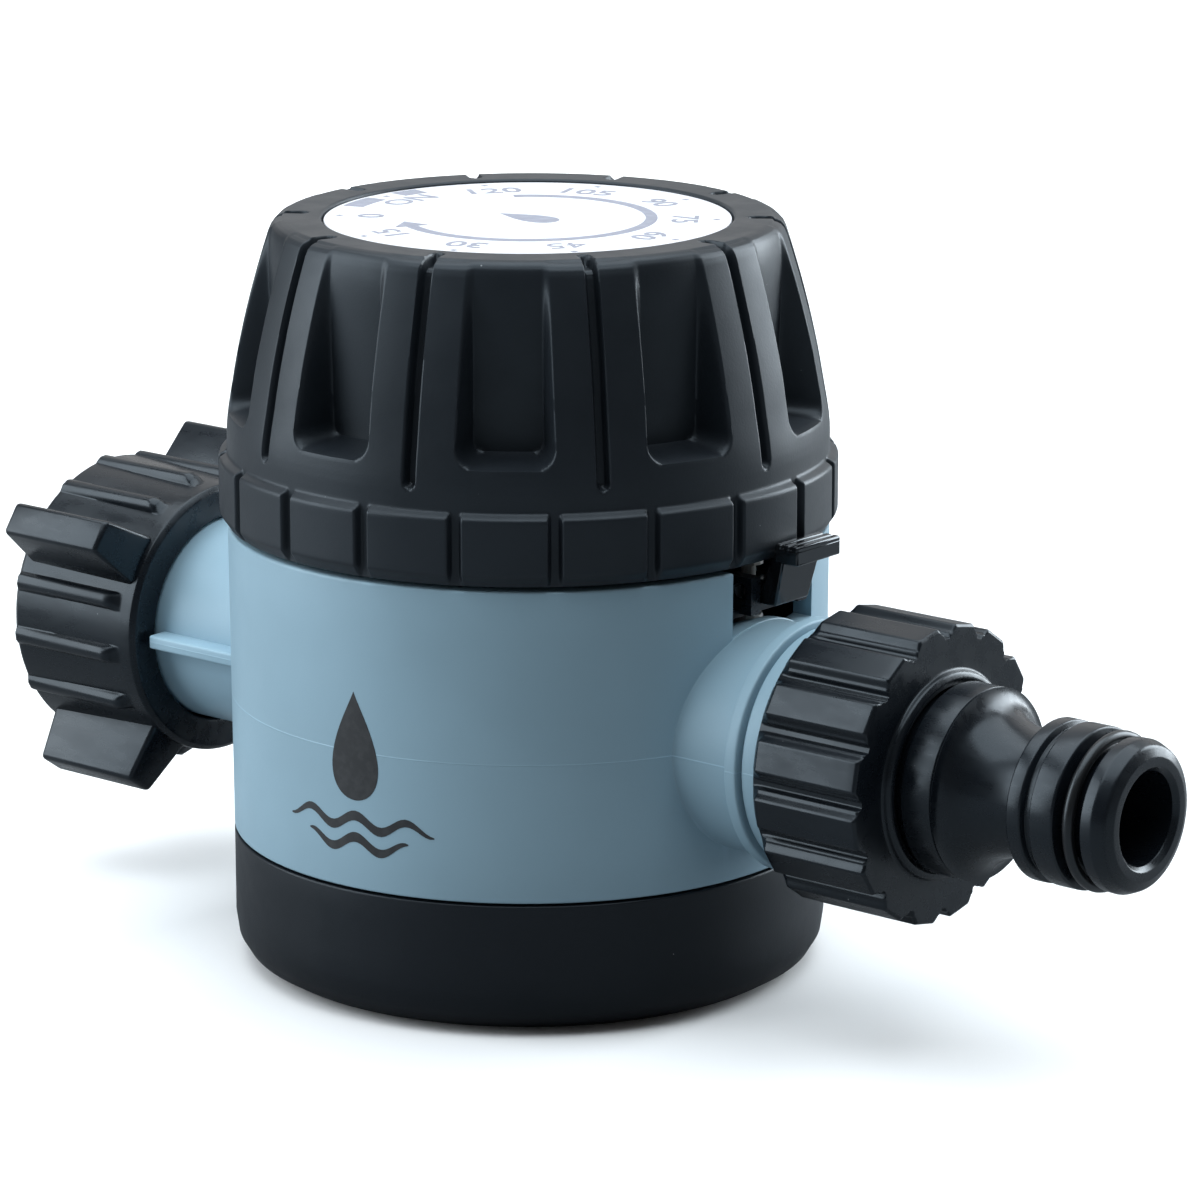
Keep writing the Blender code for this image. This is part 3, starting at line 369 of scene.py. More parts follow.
def make_dial():
    """The wind-up dial: a turned skirt shaped by grooves, finger pockets and rim blocks."""
    outline = dial_outline()
    r, h, angle = revolve(outline, dial_columns())
    pocket = pocket_share(r, h, angle)
    depth = r - (POCKET_FLOOR_R + POCKET_LEAN * (h - POCKET_REF_Z))
    depth = (depth + np.sqrt(depth * depth + 1.0)) / 2

    gap = inside(r * off_centre(angle, BLOCKS, 180.0 / BLOCKS), BLOCK_GAP_HALF, BLOCK_GAP_EDGE)
    crown = CROWN * np.cos(np.clip(off_centre(angle, PANELS) * 6, -math.pi, math.pi))
    crown *= (r > DIAL_WALL_R) * smooth_step(h, 60.0, 66.0)

    shift = -groove_share(r, h, angle) * GROOVE_DEPTH - np.maximum(crown, 0) * (1 - pocket)
    normal_r, normal_h = normals_of(outline).T[:, :, None]
    new_r = r + normal_r * shift - pocket * depth - gap * np.maximum(0, r - SKIRT_FOOT_R)
    bm = bmesh.new()
    surface(bm, new_r, h + normal_h * shift, angle)
    keep(object_from("dial_grip", bm, 55.0), "satin_black", "dial", "satin_black", "dial_knob")


# ------------------------------------------------------------------ label and its print

PRINT_LIFT = 0.03
NUMBERS = ("ON", "120", "105", "90", "75", "60", "45", "30", "15", "0")
NUMBER_SIZE, NUMBER_WIDTH, NUMBER_R = 4.1, 1.12, 17.0
DOT_HALF, DOT_R = 0.3, 20.6
ARC_INNER_R, ARC_OUTER_R, ARC_END = 12.85, 14.15, -118
SCALE_INNER_R, SCALE_OUTER_R = 19.3, 21.7


def printed(bm, points):
    """Add a thin printed area on the label."""
    heights = (LABEL_TOP_Z - PRINT_LIFT, LABEL_TOP_Z)
    below, above = ([bm.verts.new((x, y, z)) for x, y in points] for z in heights)
    bm.faces.new(below[::-1])
    bm.faces.new(above)
    for k, vert in enumerate(below):
        there = (k + 1) % len(points)
        bm.faces.new((vert, below[there], above[there], above[k]))


def polar(radius, degrees):
    """The point at a radius and an angle."""
    angle = math.radians(degrees)
    return radius * math.cos(angle), radius * math.sin(angle)


def printed_band(bm, inner, outer, start, end, steps=24):
    """Add a printed band between two radii from one angle to another."""
    turn = np.linspace(start, end, steps)
    printed(bm, [polar(outer, a) for a in turn] + [polar(inner, a) for a in turn[::-1]])


def drop_outline(width, height, steps=28):
    """A water drop with its point up, centred on its belly."""
    points = []
    for k in range(steps):
        turn = 2 * math.pi * k / steps
        reach = math.sin(turn / 2)
        points.append((width / 2 * math.sin(turn) * reach ** 1.3, height / 2 * math.cos(turn)))
    return points


def printed_number(bm, text, degrees):
    """Add a printed number whose top points away from the dial's centre."""
    curve = bpy.data.curves.new("number_" + text, 'FONT')
    curve.body = text
    curve.size = NUMBER_SIZE
    curve.align_x = 'CENTER'
    curve.align_y = 'CENTER'
    curve.resolution_u = 3
    curve.extrude = PRINT_LIFT / 2
    # a wider stroke would close the opening in the 4
    curve.offset = 0.0 if "4" in text else 0.05
    guide = bpy.data.objects.new("number_" + text, curve)
    mesh = result_of(guide)
    x, y = polar(NUMBER_R, degrees)
    place = Matrix.Translation((x, y, LABEL_TOP_Z - PRINT_LIFT / 2))
    turn = Matrix.Rotation(math.radians(degrees - 90), 4, 'Z')
    mesh.transform(place @ turn @ Matrix.Scale(NUMBER_WIDTH, 4, (1, 0, 0)))
    bm.from_mesh(mesh)
    bpy.data.objects.remove(guide)
    bpy.data.curves.remove(curve)
    bpy.data.meshes.remove(mesh)


def make_label():
    """The white label and its print: numbers, dots, arrow, rim scale and a plain drop."""
    low, top = 82.4, LABEL_TOP_Z - PRINT_LIFT
    plate = turned("label_plate", [(0, low, 0), (LABEL_R, low, 0), (LABEL_R, top, 0.12), (0, top, 0)], 160)
    keep(plate, "label_white", "dial", "label_white", "dial_label")

    bm = bmesh.new()
    for index, text in enumerate(NUMBERS):
        degrees = 180 - 36 * index
        printed_number(bm, text, degrees)
        x, y = polar(DOT_R, degrees)
        printed(bm, [(x + DOT_HALF * i, y + DOT_HALF * j) for i, j in ((-1, -1), (1, -1), (1, 1), (-1, 1))])
    printed_band(bm, ARC_INNER_R, ARC_OUTER_R, 137, ARC_END, 48)
    printed(bm, [polar(11.6, ARC_END), polar(15.4, ARC_END), polar(13.6, ARC_END - 12)])
    printed_band(bm, SCALE_INNER_R, SCALE_OUTER_R, 166, 175)
    printed_band(bm, SCALE_INNER_R, SCALE_OUTER_R, 185, 200)
    printed(bm, [(-y, x) for x, y in drop_outline(5.2, 8.0)])
    to_metres(bm)
    label_print = bpy.data.objects.new("label_print", mesh_from("label_print", bm))
    keep(label_print, "print_grey", "dial", "label_white")


# ------------------------------------------------------------------ body

TUBE_BORE_R = 8.5
TUBE_ROOT_X = 29.0
INLET_TUBE_R = 11.8
OUTLET_TUBE_R = 12.6
STUB_R = 12.7
COLLAR_R = 13.8
CLIP_GROOVE_R = 10.8
SLOT_LOW, SLOT_HIGH = (25.0, -5.2, 41.2), (36.0, 10.2, 52.0)
FIN_LOW, FIN_HIGH, FIN_HALF = 10.6, 14.2, 0.8
MARK_AZIMUTH = -84.0
MARK_Z = 27.5


def body_radius(z):
    """Outer radius of the body, which widens slightly upwards."""
    return BASE_R + (BODY_TOP_R - BASE_R) * (z - SEAM_Z) / (BODY_TOP_Z - SEAM_Z)


def flared_tube(name, tube_r, fillet, corners):
    """A tube that grows out of the body through a small fillet."""
    turn = np.radians(np.linspace(0, 90, 9))
    flare_r = np.append(tube_r + fillet * (1 - np.sin(turn)), tube_r)
    rise = np.append(fillet * (1 - np.cos(turn)), fillet + 0.3)
    root = np.array([(tube_r - 0.8, TUBE_ROOT_X), (tube_r + fillet, TUBE_ROOT_X)])
    flare = np.stack([flare_r, 0 * flare_r], axis=1)
    rest = spread(rounded([(tube_r, 35.0, 0), *corners]), 2.5, closed=False)
    r, h, angle = revolve(np.concatenate([root, flare, rest]), even(144))
    wall = body_radius(PIPE_Z)
    on_body = np.sqrt(wall * wall - (r * np.sin(angle)) ** 2)
    last = len(root) + len(flare)
    h[2:last] = on_body[2:last] + rise[:, None] - 0.02
    h[1] = on_body[1] - 1.2
    bm = bmesh.new()
    surface(bm, r, h, angle)
    return object_from(name, bm)


def make_body():
    """The drum with the lever's slot, the inlet and outlet tubes and the two fins."""
    drum = turned("drum", [
        (BODY_INNER_R, SEAM_Z, 0), (BODY_INNER_R, BODY_TOP_Z, 0), (BODY_TOP_R, BODY_TOP_Z, 0.35),
        (BASE_R, SEAM_Z, 0.22)], columns=240, step=6.0)
    bm = bmesh.new()
    box_bm(bm, SLOT_LOW, SLOT_HIGH)
    boolean(drum, object_from("slot", bm), 'DIFFERENCE')
    bore = turned("bore", [(0, -40, 0), (0, 40, 0), (TUBE_BORE_R, 40, 0), (TUBE_BORE_R, -40, 0)], 48)
    boolean(drum, lay(bore, 1), 'DIFFERENCE')
    outlet = lay(flared_tube("outlet_tube", OUTLET_TUBE_R, 0.16, [
        (OUTLET_TUBE_R, 38.1, 0.3), (COLLAR_R, 38.45, 0.25), (COLLAR_R, 39.9, 0.3), (12.75, 39.95, 0),
        (12.75, 40.25, 0), (13.2, 40.3, 0.15), (13.2, 42.7, 0.2), (STUB_R, 42.75, 0),
        (STUB_R, STUB_END_X - 0.5, 0), (STUB_R - 0.5, STUB_END_X, 0), (TUBE_BORE_R, STUB_END_X, 0),
        (TUBE_BORE_R, TUBE_ROOT_X, 0), (OUTLET_TUBE_R - 0.8, TUBE_ROOT_X, 0)]), 1)
    inlet = lay(flared_tube("inlet_tube", INLET_TUBE_R, 0.3, [
        (INLET_TUBE_R, 52.6, 0), (CLIP_GROOVE_R, 52.6, 0), (CLIP_GROOVE_R, 54.4, 0),
        (INLET_TUBE_R, 54.4, 0), (INLET_TUBE_R, INLET_END - 0.4, 0), (INLET_TUBE_R - 0.4, INLET_END, 0),
        (TUBE_BORE_R, INLET_END, 0), (TUBE_BORE_R, TUBE_ROOT_X, 0),
        (INLET_TUBE_R - 0.8, TUBE_ROOT_X, 0)]), -1)
    bm = bmesh.new()
    for side in ((-FIN_HIGH, -FIN_LOW), (FIN_LOW, FIN_HIGH)):
        box_bm(bm, (-45.2, side[0], PIPE_Z - FIN_HALF), (-28.5, side[1], PIPE_Z + FIN_HALF))
    fins = bevelled(object_from("fins", bm), 0.3)
    body = shaded(merged("body_shell", drum, outlet, inlet, fins))
    keep(body, "blue_grey_body", "housing", "blue_grey_body", "body_housing")


def on_drum(points, lift):
    """Wrap flat (across, up) points round the body at its mark."""
    wrapped = []
    for across, up in points:
        z = MARK_Z + up
        radius = body_radius(z) + lift
        angle = math.radians(MARK_AZIMUTH) + across / radius
        wrapped.append((radius * math.cos(angle), radius * math.sin(angle), z))
    return wrapped


def wrapped_patch(bm, left, right, columns=8):
    """Add a thin printed patch between two side lines, wrapped on the body."""
    layers = []
    for lift in (0.0, PRINT_LIFT):
        rows = []
        for (x0, up), (x1, _) in zip(left, right):
            line = [(x0 + (x1 - x0) * k / columns, up) for k in range(columns + 1)]
            rows.append([bm.verts.new(p) for p in on_drum(line, lift)])
        layers.append(rows)
    for rows in layers:
        for here, there in zip(rows, rows[1:]):
            for k in range(columns):
                bm.faces.new((here[k], here[k + 1], there[k + 1], there[k]))
    below, above = layers
    for k in range(columns):
        for row in (0, -1):
            bm.faces.new((below[row][k], below[row][k + 1], above[row][k + 1], above[row][k]))
    for i in range(len(below) - 1):
        for k in (0, -1):
            bm.faces.new((below[i][k], below[i + 1][k], above[i + 1][k], above[i][k]))


def wrapped_wave(bm, level, reach, steps=40):
    """Add a thin printed wave with pointed ends, wrapped on the body."""
    edges = []
    for k in range(steps + 1):
        x = reach * (2 * k / steps - 1)
        middle = level + 0.7 * math.cos(x)
        half = 0.55 * math.sqrt(max(0.02, 1 - (x / reach) ** 2))
        edges.append((x, middle - half, middle + half))
    for k, ((x0, low0, high0), (x1, low1, high1)) in enumerate(zip(edges, edges[1:])):
        corners = [(x0, low0), (x1, low1), (x1, high1), (x0, high0)]
        above, below = ([bm.verts.new(p) for p in on_drum(corners, lift)] for lift in (PRINT_LIFT, 0.0))
        bm.faces.new(above)
        bm.faces.new(below[::-1])
        ends = {0: (3,), steps - 1: (1,)}
        for side in sorted((0, 2, *ends.get(k, ()))):
            there = (side + 1) % 4
            bm.faces.new((below[side], below[there], above[there], above[side]))


def make_mark():
    """A generic water mark on the body: a drop over two waves."""
    bm = bmesh.new()
    height, width, belly = 12.0, 8.2, 3.4
    left, right = [], []
    for part in np.linspace(0.01, 0.99, 29):
        turn = math.pi * part
        half = width / 2 * math.sin(turn) * math.sin(turn / 2) ** 1.3 + 0.02
        up = height / 2 * math.cos(turn) + belly
        left.append((-half, up))
        right.append((half, up))
    wrapped_patch(bm, left, right)
    wrapped_wave(bm, -5.0, 9.5)
    wrapped_wave(bm, -7.4, 6.5)
    keep(object_from("body_mark", bm), "print_black", "housing", "blue_grey_body")


# ------------------------------------------------------------------ base

BASE_SCREWS = 3
BASE_FLOOR_Z = 2.2
SPIGOT_OUTER_R, SPIGOT_INNER_R = 30.4, 29.4


def make_base():
    """The base cap with its spigot, screw posts and screw wells."""
    cap = turned("base_shell", [
        (0, BASE_LOW, 0), (BASE_R, BASE_LOW, 5.0), (BASE_R, SEAM_Z - 0.3, 0.25),
        (SPIGOT_OUTER_R, SEAM_Z - 0.3, 0), (SPIGOT_OUTER_R, SEAM_Z + 1.4, 0),
        (SPIGOT_INNER_R, SEAM_Z + 1.4, 0), (SPIGOT_INNER_R, 14.0, 0), (BODY_INNER_R, 12.6, 0),
        (BODY_INNER_R, 5.7, 0), (27.3, BASE_FLOOR_Z, 0), (0, BASE_FLOOR_Z, 0)], columns=240, step=3.0)
    for index in range(1, BASE_SCREWS + 1):
        low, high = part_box(f"base_screw_{index}")
        x, y = (low.x + high.x) / 2 / MM, (low.y + high.y) / 2 / MM
        boolean(cap, cylinder("post", 3.6, 1.0, 4.6, 40, x, y), 'UNION')
        boolean(cap, cylinder("well", 2.7, -1.0, 3.2, 40, x, y), 'DIFFERENCE')
        boolean(cap, cylinder("shaft", 1.35, 2.0, 6.0, 24, x, y), 'DIFFERENCE')
    # the base cap takes the darker copy of the dial's black plastic, painted shade
    keep(cap, "satin_black_shaded", "housing", "satin_black", "base_cap")


# ------------------------------------------------------------------ outlet

OUTLET_PADS = 16
PAD_R, PAD_FLAT_R, NOTCH_FLOOR_R = 16.15, 16.02, 14.65
PAD_END_X = 57.15
CORE_R, NECK_R, RIDGE_R = 10.3, 6.7, 8.6
RING_R, RING_SECTION_R = 7.85, 0.62


def make_outlet_nut():
    """The nut on the outlet stub, with flat pads between notches."""
    outline = spread(rounded([
        (13.1, NUT_BACK_X, 0.2), (14.7, NUT_BACK_X, 0.3), (15.2, NUT_BACK_X + 0.35, 0.2),
        (PAD_R, NUT_BACK_X + 1.2, 0.5), (PAD_R, PAD_END_X - 0.2, 0.35), (PAD_R - 0.35, PAD_END_X, 0.1),
        (11.25, PAD_END_X, 0.35), (11.1, 57.9, 0.5), (10.5, NUT_FRONT_X, 0.4), (9.7, 57.8, 0.3),
        (9.5, 56.2, 0), (13.1, 56.2, 0)]), 1.0)
    pitch = 360.0 / OUTLET_PADS
    offsets = np.concatenate([np.arange(-6.3, 6.31, 0.42), np.arange(7.4, pitch - 6.4, 1.3)])
    r, h, angle = revolve(outline, sector_columns(OUTLET_PADS, offsets))
    side = r * off_centre(angle, OUTLET_PADS)
    notch = 0.55 * inside(side, 1.2, 0.9) + 0.45 * inside(side, 0.5, 0.4)
    flat = PAD_FLAT_R / np.cos(off_centre(angle, OUTLET_PADS, pitch / 2)) - NOTCH_FLOOR_R
    rise = (r - NOTCH_FLOOR_R) * (1 - notch) * np.minimum(1, flat / (PAD_R - NOTCH_FLOOR_R))
    r = np.where(r > NOTCH_FLOOR_R, NOTCH_FLOOR_R + rise, r)
    bm = bmesh.new()
    surface(bm, r, h, angle)
    nut = lay(object_from("outlet_nut_grip", bm, CRISP_ANGLE), 1)
    keep(nut, "gloss_black", "housing", "gloss_black", "outlet_nut")


def make_nipple():
    """The click-on hose nipple and its seal ring."""
    bell = [(CORE_R - 3.6 * math.sin(a), 62.75 + 7.0 * (1 - math.cos(a)), 0)
            for a in (math.radians(7.5 * k) for k in range(12))]
    corners = [
        (NIPPLE_BORE_R, NIPPLE_BACK_X, 0), (12.8, NIPPLE_BACK_X, 0), (12.8, 55.9, 0), (9.2, 55.9, 0),
        (9.2, 58.5, 0.1), (10.0, 58.6, 0.2), (CORE_R, 58.95, 0.2), (CORE_R, 62.45, 0.1),
        (10.15, 62.52, 0), (10.15, 62.62, 0), *bell, (NECK_R, 70.0, 0.15), (7.6, 70.35, 0.3),
        (RIDGE_R, 70.9, 0.35), (RIDGE_R, 72.5, 0.25), (7.9, 72.75, 0.12), (7.9, 73.5, 0.12),
        (RIDGE_R, 73.75, 0.25), (RIDGE_R, 76.55, 0.3), (6.95, 76.7, 0.1), (6.95, 79.45, 0.1),
        (8.1, 79.6, 0.25), (8.15, 81.0, 0.8), (7.6, 82.3, 0.7), (6.5, NIPPLE_END_X, 0.5),
        (5.5, NIPPLE_END_X, 0.25), (NIPPLE_BORE_R, 82.2, 0.2)]
    nipple = lay(turned("nipple_shell", corners, 144, 3.0, CRISP_ANGLE), 1)
    keep(nipple, "gloss_black", "housing", "gloss_black", "hose_nipple")

    outline = np.array([(RING_R + RING_SECTION_R * math.cos(a), ORING_X + RING_SECTION_R * math.sin(a))
                        for a in np.linspace(0, 2 * math.pi, 20, endpoint=False)])
    bm = bmesh.new()
    surface(bm, *revolve(outline, even(144)))
    keep(lay(object_from("seal_ring", bm), 1), "rubber", "housing", "rubber", "nipple_oring")


# ------------------------------------------------------------------ inlet nut

INLET_RIBS, RIB_START = 16, 38.5
RIB_R, RIB_HALF, RIB_EDGE = 17.1, 0.92, 0.38
INLET_WINGS, WING_START = 4, 35.0
WING_ROOT_R, WING_TIP_R = 14.1, 22.2


def wing_corner(x, y, z):
    """A wing is wide and long at its root, and narrower and cut back at its tip."""
    root = x < 18
    if z < 50.5:
        z = 46.9 if root else 48.6
    return x, math.copysign(3.3 if root else 1.95, y), z


def make_inlet_nut():
    """The swivel nut: a ribbed barrel with four wings."""
    outline = spread(rounded([
        (12.1, 46.12, 0.3), (15.3, 46.12, 0.35), (15.85, 46.7, 0.4), (15.95, 48.1, 0.4),
        (16.55, 64.2, 0.5), (16.0, 65.0, 0.4), (13.6, 65.0, 0.25), (13.2, 64.6, 0), (13.2, 52.7, 0),
        (12.1, 52.7, 0)]), 0.6)
    edge = np.array([-4.6, -4.25, -3.9, -3.55, -3.2])
    offsets = np.concatenate([[-11.25, -9.0, -6.5], edge, [-1.5, 0, 1.5], -edge[::-1], [6.5, 9.0]])
    r, h, angle = revolve(outline, sector_columns(INLET_RIBS, offsets, RIB_START))
    rib = inside(r * off_centre(angle, INLET_RIBS, RIB_START), RIB_HALF, RIB_EDGE)
    rib *= 1 - inside(r * off_centre(angle, INLET_WINGS, WING_START), 2.9, 0.1)
    rib *= (r > 15.3) * smooth_step(h, 49.0, 49.5) * (1 - smooth_step(h, 64.1, 64.5))
    bm = bmesh.new()
    surface(bm, r + rib * np.maximum(0, RIB_R - r), h, angle)
    barrel = object_from("barrel", bm, CRISP_ANGLE)

    bm = bmesh.new()
    for degrees in even(INLET_WINGS, WING_START):
        made = box_bm(bm, (WING_ROOT_R, -1.0, 50.0), (WING_TIP_R, 1.0, 63.4), wing_corner)
        turn = Matrix.Rotation(math.radians(degrees), 3, 'Z')
        bmesh.ops.rotate(bm, cent=(0, 0, 0), verts=made, matrix=turn)
    wings = bevelled(object_from("wings", bm), 0.55)
    nut = shaded(lay(merged("inlet_nut_grip", barrel, wings), -1), CRISP_ANGLE)
    keep(nut, "gloss_black", "swivel_nut", "gloss_black", "inlet_nut")


# ------------------------------------------------------------------ lever

TAB_HALF, STEM_HALF, FOOT_HALF = 3.8, 3.3, 2.9
TAB_X = 34.45


def stem_corner(x, y, z):
    """The stem leans outwards and widens from its foot to the tab."""
    high, outer = z > 47, x > 33
    spot = (35.3 if outer else 33.75) if high else (33.9 if outer else 31.2)
    return spot, LEVER_Y + math.copysign(STEM_HALF if high else FOOT_HALF, y - LEVER_Y), z


def make_lever():
    """The lever: a ribbed tab on a leaning stem, with its foot and two pivot ears."""
    bm = bmesh.new()
    box_bm(bm, (31.0, LEVER_Y - 1, 44.5), (35.0, LEVER_Y + 1, 50.0), stem_corner)
    box_bm(bm, (TAB_X, LEVER_Y - TAB_HALF, 49.6), (37.5, LEVER_Y + TAB_HALF, 51.3))
    for x in (TAB_X, 35.55, 36.65):
        box_bm(bm, (x, LEVER_Y - TAB_HALF, 51.0), (x + 0.85, LEVER_Y + TAB_HALF, 51.69))
    box_bm(bm, (30.6, LEVER_Y - 2.88, 44.8), (32.6, LEVER_Y + 2.88, 47.2))
    for low in (-2.1, 1.2):
        box_bm(bm, (27.0, LEVER_Y + low, 45.4), (30.6, LEVER_Y + low + 0.9, 46.6))
    lever = bevelled(object_from("lever_grip", bm), 0.22)
    keep(lever, "gloss_lever", "lever", "gloss_black", "bypass_lever")


# ------------------------------------------------------------------ materials

SHEEN = (0.80, 0.91, 1.0, 1.0)


class Nodes:
    """A short way to build a material's node tree."""

    def __init__(self, name):
        self.material = bpy.data.materials.new(name)
        self.material.use_nodes = True
        self.tree = self.material.node_tree
        self.shader = self.tree.nodes["Principled BSDF"]
        self.place = self.new('ShaderNodeTexCoord').outputs["Object"]

    def new(self, kind, **values):
        node = self.tree.nodes.new(kind)
        for key, value in values.items():
            setattr(node, key, value)
        return node

    def link(self, source, target):
        self.tree.links.new(source, target)

    def noise(self, scale, detail=3.0, rough=0.55, stretch=None):
        """Noise whose scale is in features per metre."""
        node = self.new('ShaderNodeTexNoise')
        node.inputs["Scale"].default_value = scale
        node.inputs["Detail"].default_value = detail
        node.inputs["Roughness"].default_value = rough
        source = self.place
        if stretch:
            mapping = self.new('ShaderNodeMapping')
            mapping.inputs["Scale"].default_value = stretch
            self.link(source, mapping.inputs["Vector"])
            source = mapping.outputs["Vector"]
        self.link(source, node.inputs["Vector"])
        return node.outputs["Fac"]

    def ramp(self, source, low, high, from_value=0.0, to_value=1.0):
        node = self.new('ShaderNodeMapRange', interpolation_type='SMOOTHSTEP')
        node.inputs["From Min"].default_value = low
        node.inputs["From Max"].default_value = high
        node.inputs["To Min"].default_value = from_value
        node.inputs["To Max"].default_value = to_value
        self.link(source, node.inputs["Value"])
        return node.outputs["Result"]

    def maths(self, operation, first, second):
        node = self.new('ShaderNodeMath', operation=operation)
        for index, value in enumerate((first, second)):
            if isinstance(value, (int, float)):
                node.inputs[index].default_value = value
            else:
                self.link(value, node.inputs[index])
        return node.outputs["Value"]

    def mix(self, factor, first, second):
        node = self.new('ShaderNodeMix', data_type='RGBA')
        if isinstance(factor, (int, float)):
            node.inputs[0].default_value = factor
        else:
            self.link(factor, node.inputs[0])
        for index, value in ((6, first), (7, second)):
            if isinstance(value, tuple):
                node.inputs[index].default_value = (*value, 1.0)
            else:
                self.link(value, node.inputs[index])
        return node.outputs[2]

    def bump(self, height, distance_mm, strength=1.0, normal=None):
        node = self.new('ShaderNodeBump')
        node.inputs["Strength"].default_value = strength
        node.inputs["Distance"].default_value = distance_mm * MM
        self.link(height, node.inputs["Height"])
        if normal:
            self.link(normal, node.inputs["Normal"])
        return node.outputs["Normal"]

    def specks(self, cell_mm, size, share):
        """Small scattered specks: 1 in a speck, 0 elsewhere; share is the part of cells with one."""
        cells = self.new('ShaderNodeTexVoronoi')
        cells.inputs["Scale"].default_value = 1000.0 / cell_mm
        self.link(self.place, cells.inputs["Vector"])
        near = self.ramp(cells.outputs["Distance"], size, size * 0.5)
        pick = self.new('ShaderNodeSeparateColor')
        self.link(cells.outputs["Color"], pick.inputs["Color"])
        chosen = self.maths('LESS_THAN', pick.outputs["Red"], share)
        return self.maths('MULTIPLY', near, chosen)

    def edges(self):
        """1 on convex edges, 0 on flat faces."""
        geometry = self.new('ShaderNodeNewGeometry')
        return self.ramp(geometry.outputs["Pointiness"], 0.515, 0.6)

    def finish(self, tone, roughness, normal, specular=None):
        """Join colour, roughness and normal to the shader, and return the material."""
        self.link(tone, self.shader.inputs["Base Color"])
        self.link(roughness, self.shader.inputs["Roughness"])
        self.link(normal, self.shader.inputs["Normal"])
        if specular is not None:
            self.shader.inputs["Specular IOR Level"].default_value = specular
            self.shader.inputs["Specular Tint"].default_value = SHEEN
        return self.material


def scaled(colour, factor, lift=0.0):
    """A colour made lighter or darker."""
    return tuple(min(1.0, c * factor + lift) for c in colour)


def moulded(name, colour, rough, grain_mm=0.35, grain=0.012, dust=0.0, wear=0.25, specular=0.4,
            drift=0.08, line_z=None):
    """Injection-moulded plastic: fine grain, slight colour drift, rubbed edges and a little dust."""
    n = Nodes(name)
    darker, lighter = scaled(colour, 1 - drift), scaled(colour, 1 + drift, 0.002)
    tone = n.mix(n.ramp(n.noise(38.0), 0.35, 0.65), darker, lighter)
    rubbed = scaled(colour, 1.35, 0.012)
    worn = n.maths('MULTIPLY', n.edges(), n.ramp(n.noise(420.0), 0.4, 0.62, 0.25, wear))
    tone = n.mix(worn, tone, rubbed)
    normal = n.bump(n.noise(1000.0 / grain_mm, 2.0, 0.6), grain, 0.9)
    roughness = n.ramp(n.noise(260.0, 4.0), 0.3, 0.7, rough * 0.92, rough * 1.08)
    if line_z is not None:
        axes = n.new('ShaderNodeSeparateXYZ')
        n.link(n.place, axes.inputs["Vector"])
        away = n.maths('ABSOLUTE', n.maths('SUBTRACT', axes.outputs["Z"], line_z * MM), 0.0)
        line = n.ramp(away, 0.1 * MM, 0.03 * MM)
        broken = n.maths('MULTIPLY', line, n.ramp(n.noise(55.0), 0.38, 0.62, 0.15, 0.75))
        tone = n.mix(broken, tone, rubbed)
        normal = n.bump(line, 0.03, 0.7, normal)
    if dust:
        both = n.maths('MAXIMUM', n.specks(3.4, 0.04, dust), n.specks(1.7, 0.045, dust * 0.6))
        tone = n.mix(n.maths('MULTIPLY', both, 0.7), tone, (0.35, 0.37, 0.38))
        roughness = n.maths('ADD', roughness, n.maths('MULTIPLY', both, 0.3))
    return n.finish(tone, roughness, normal, specular)


def scratched(name, colour, rough, specular=0.5):
    """Semi-gloss black plastic with soft drag marks and a few fine scratches."""
    n = Nodes(name)
    tone = n.mix(n.ramp(n.noise(60.0), 0.35, 0.65), colour, scaled(colour, 1.35))
    rub = n.maths('MULTIPLY', n.edges(), n.ramp(n.noise(500.0), 0.42, 0.6, 0.08, 0.25))
    tone = n.mix(rub, tone, scaled(colour, 2.0, 0.01))
    tone = n.mix(n.maths('MULTIPLY', n.specks(2.6, 0.03, 0.16), 0.7), tone, (0.3, 0.31, 0.32))
    smear = n.ramp(n.noise(150.0, 5.0, 0.6, (1.0, 3.0, 3.0)), 0.3, 0.72, rough * 0.8, rough * 1.3)
    hairs = n.ramp(n.noise(900.0, 2.0, 0.5, (0.12, 1.0, 1.0)), 0.66, 0.72)
    normal = n.bump(n.noise(2600.0, 2.0), 0.004, 0.6)
    normal = n.bump(hairs, 0.005, 0.25, normal)
    normal = n.bump(n.noise(120.0, 2.0), 0.05, 0.35, normal)
    return n.finish(tone, smear, normal, specular)


def ink(name, colour, rough):
    """Screen print: flat colour with slight unevenness and a fine surface grain."""
    n = Nodes(name)
    tone = n.mix(n.ramp(n.noise(900.0, 4.0), 0.4, 0.7), colour, scaled(colour, 1.12, 0.01))
    roughness = n.ramp(n.noise(700.0), 0.3, 0.7, rough * 0.9, rough * 1.1)
    return n.finish(tone, roughness, n.bump(n.noise(3000.0), 0.004, 0.6))


def metal(name, colour, rough, grain):
    """Drawn or stamped metal with fine brushed grain."""
    n = Nodes(name)
    brushed = n.noise(1400.0, 4.0, 0.6, grain)
    tone = n.mix(n.ramp(brushed, 0.35, 0.65), scaled(colour, 0.85), colour)
    roughness = n.ramp(brushed, 0.3, 0.7, rough * 0.8, rough * 1.3)
    n.shader.inputs["Metallic"].default_value = 1.0
    return n.finish(tone, roughness, n.bump(brushed, 0.01, 0.5))


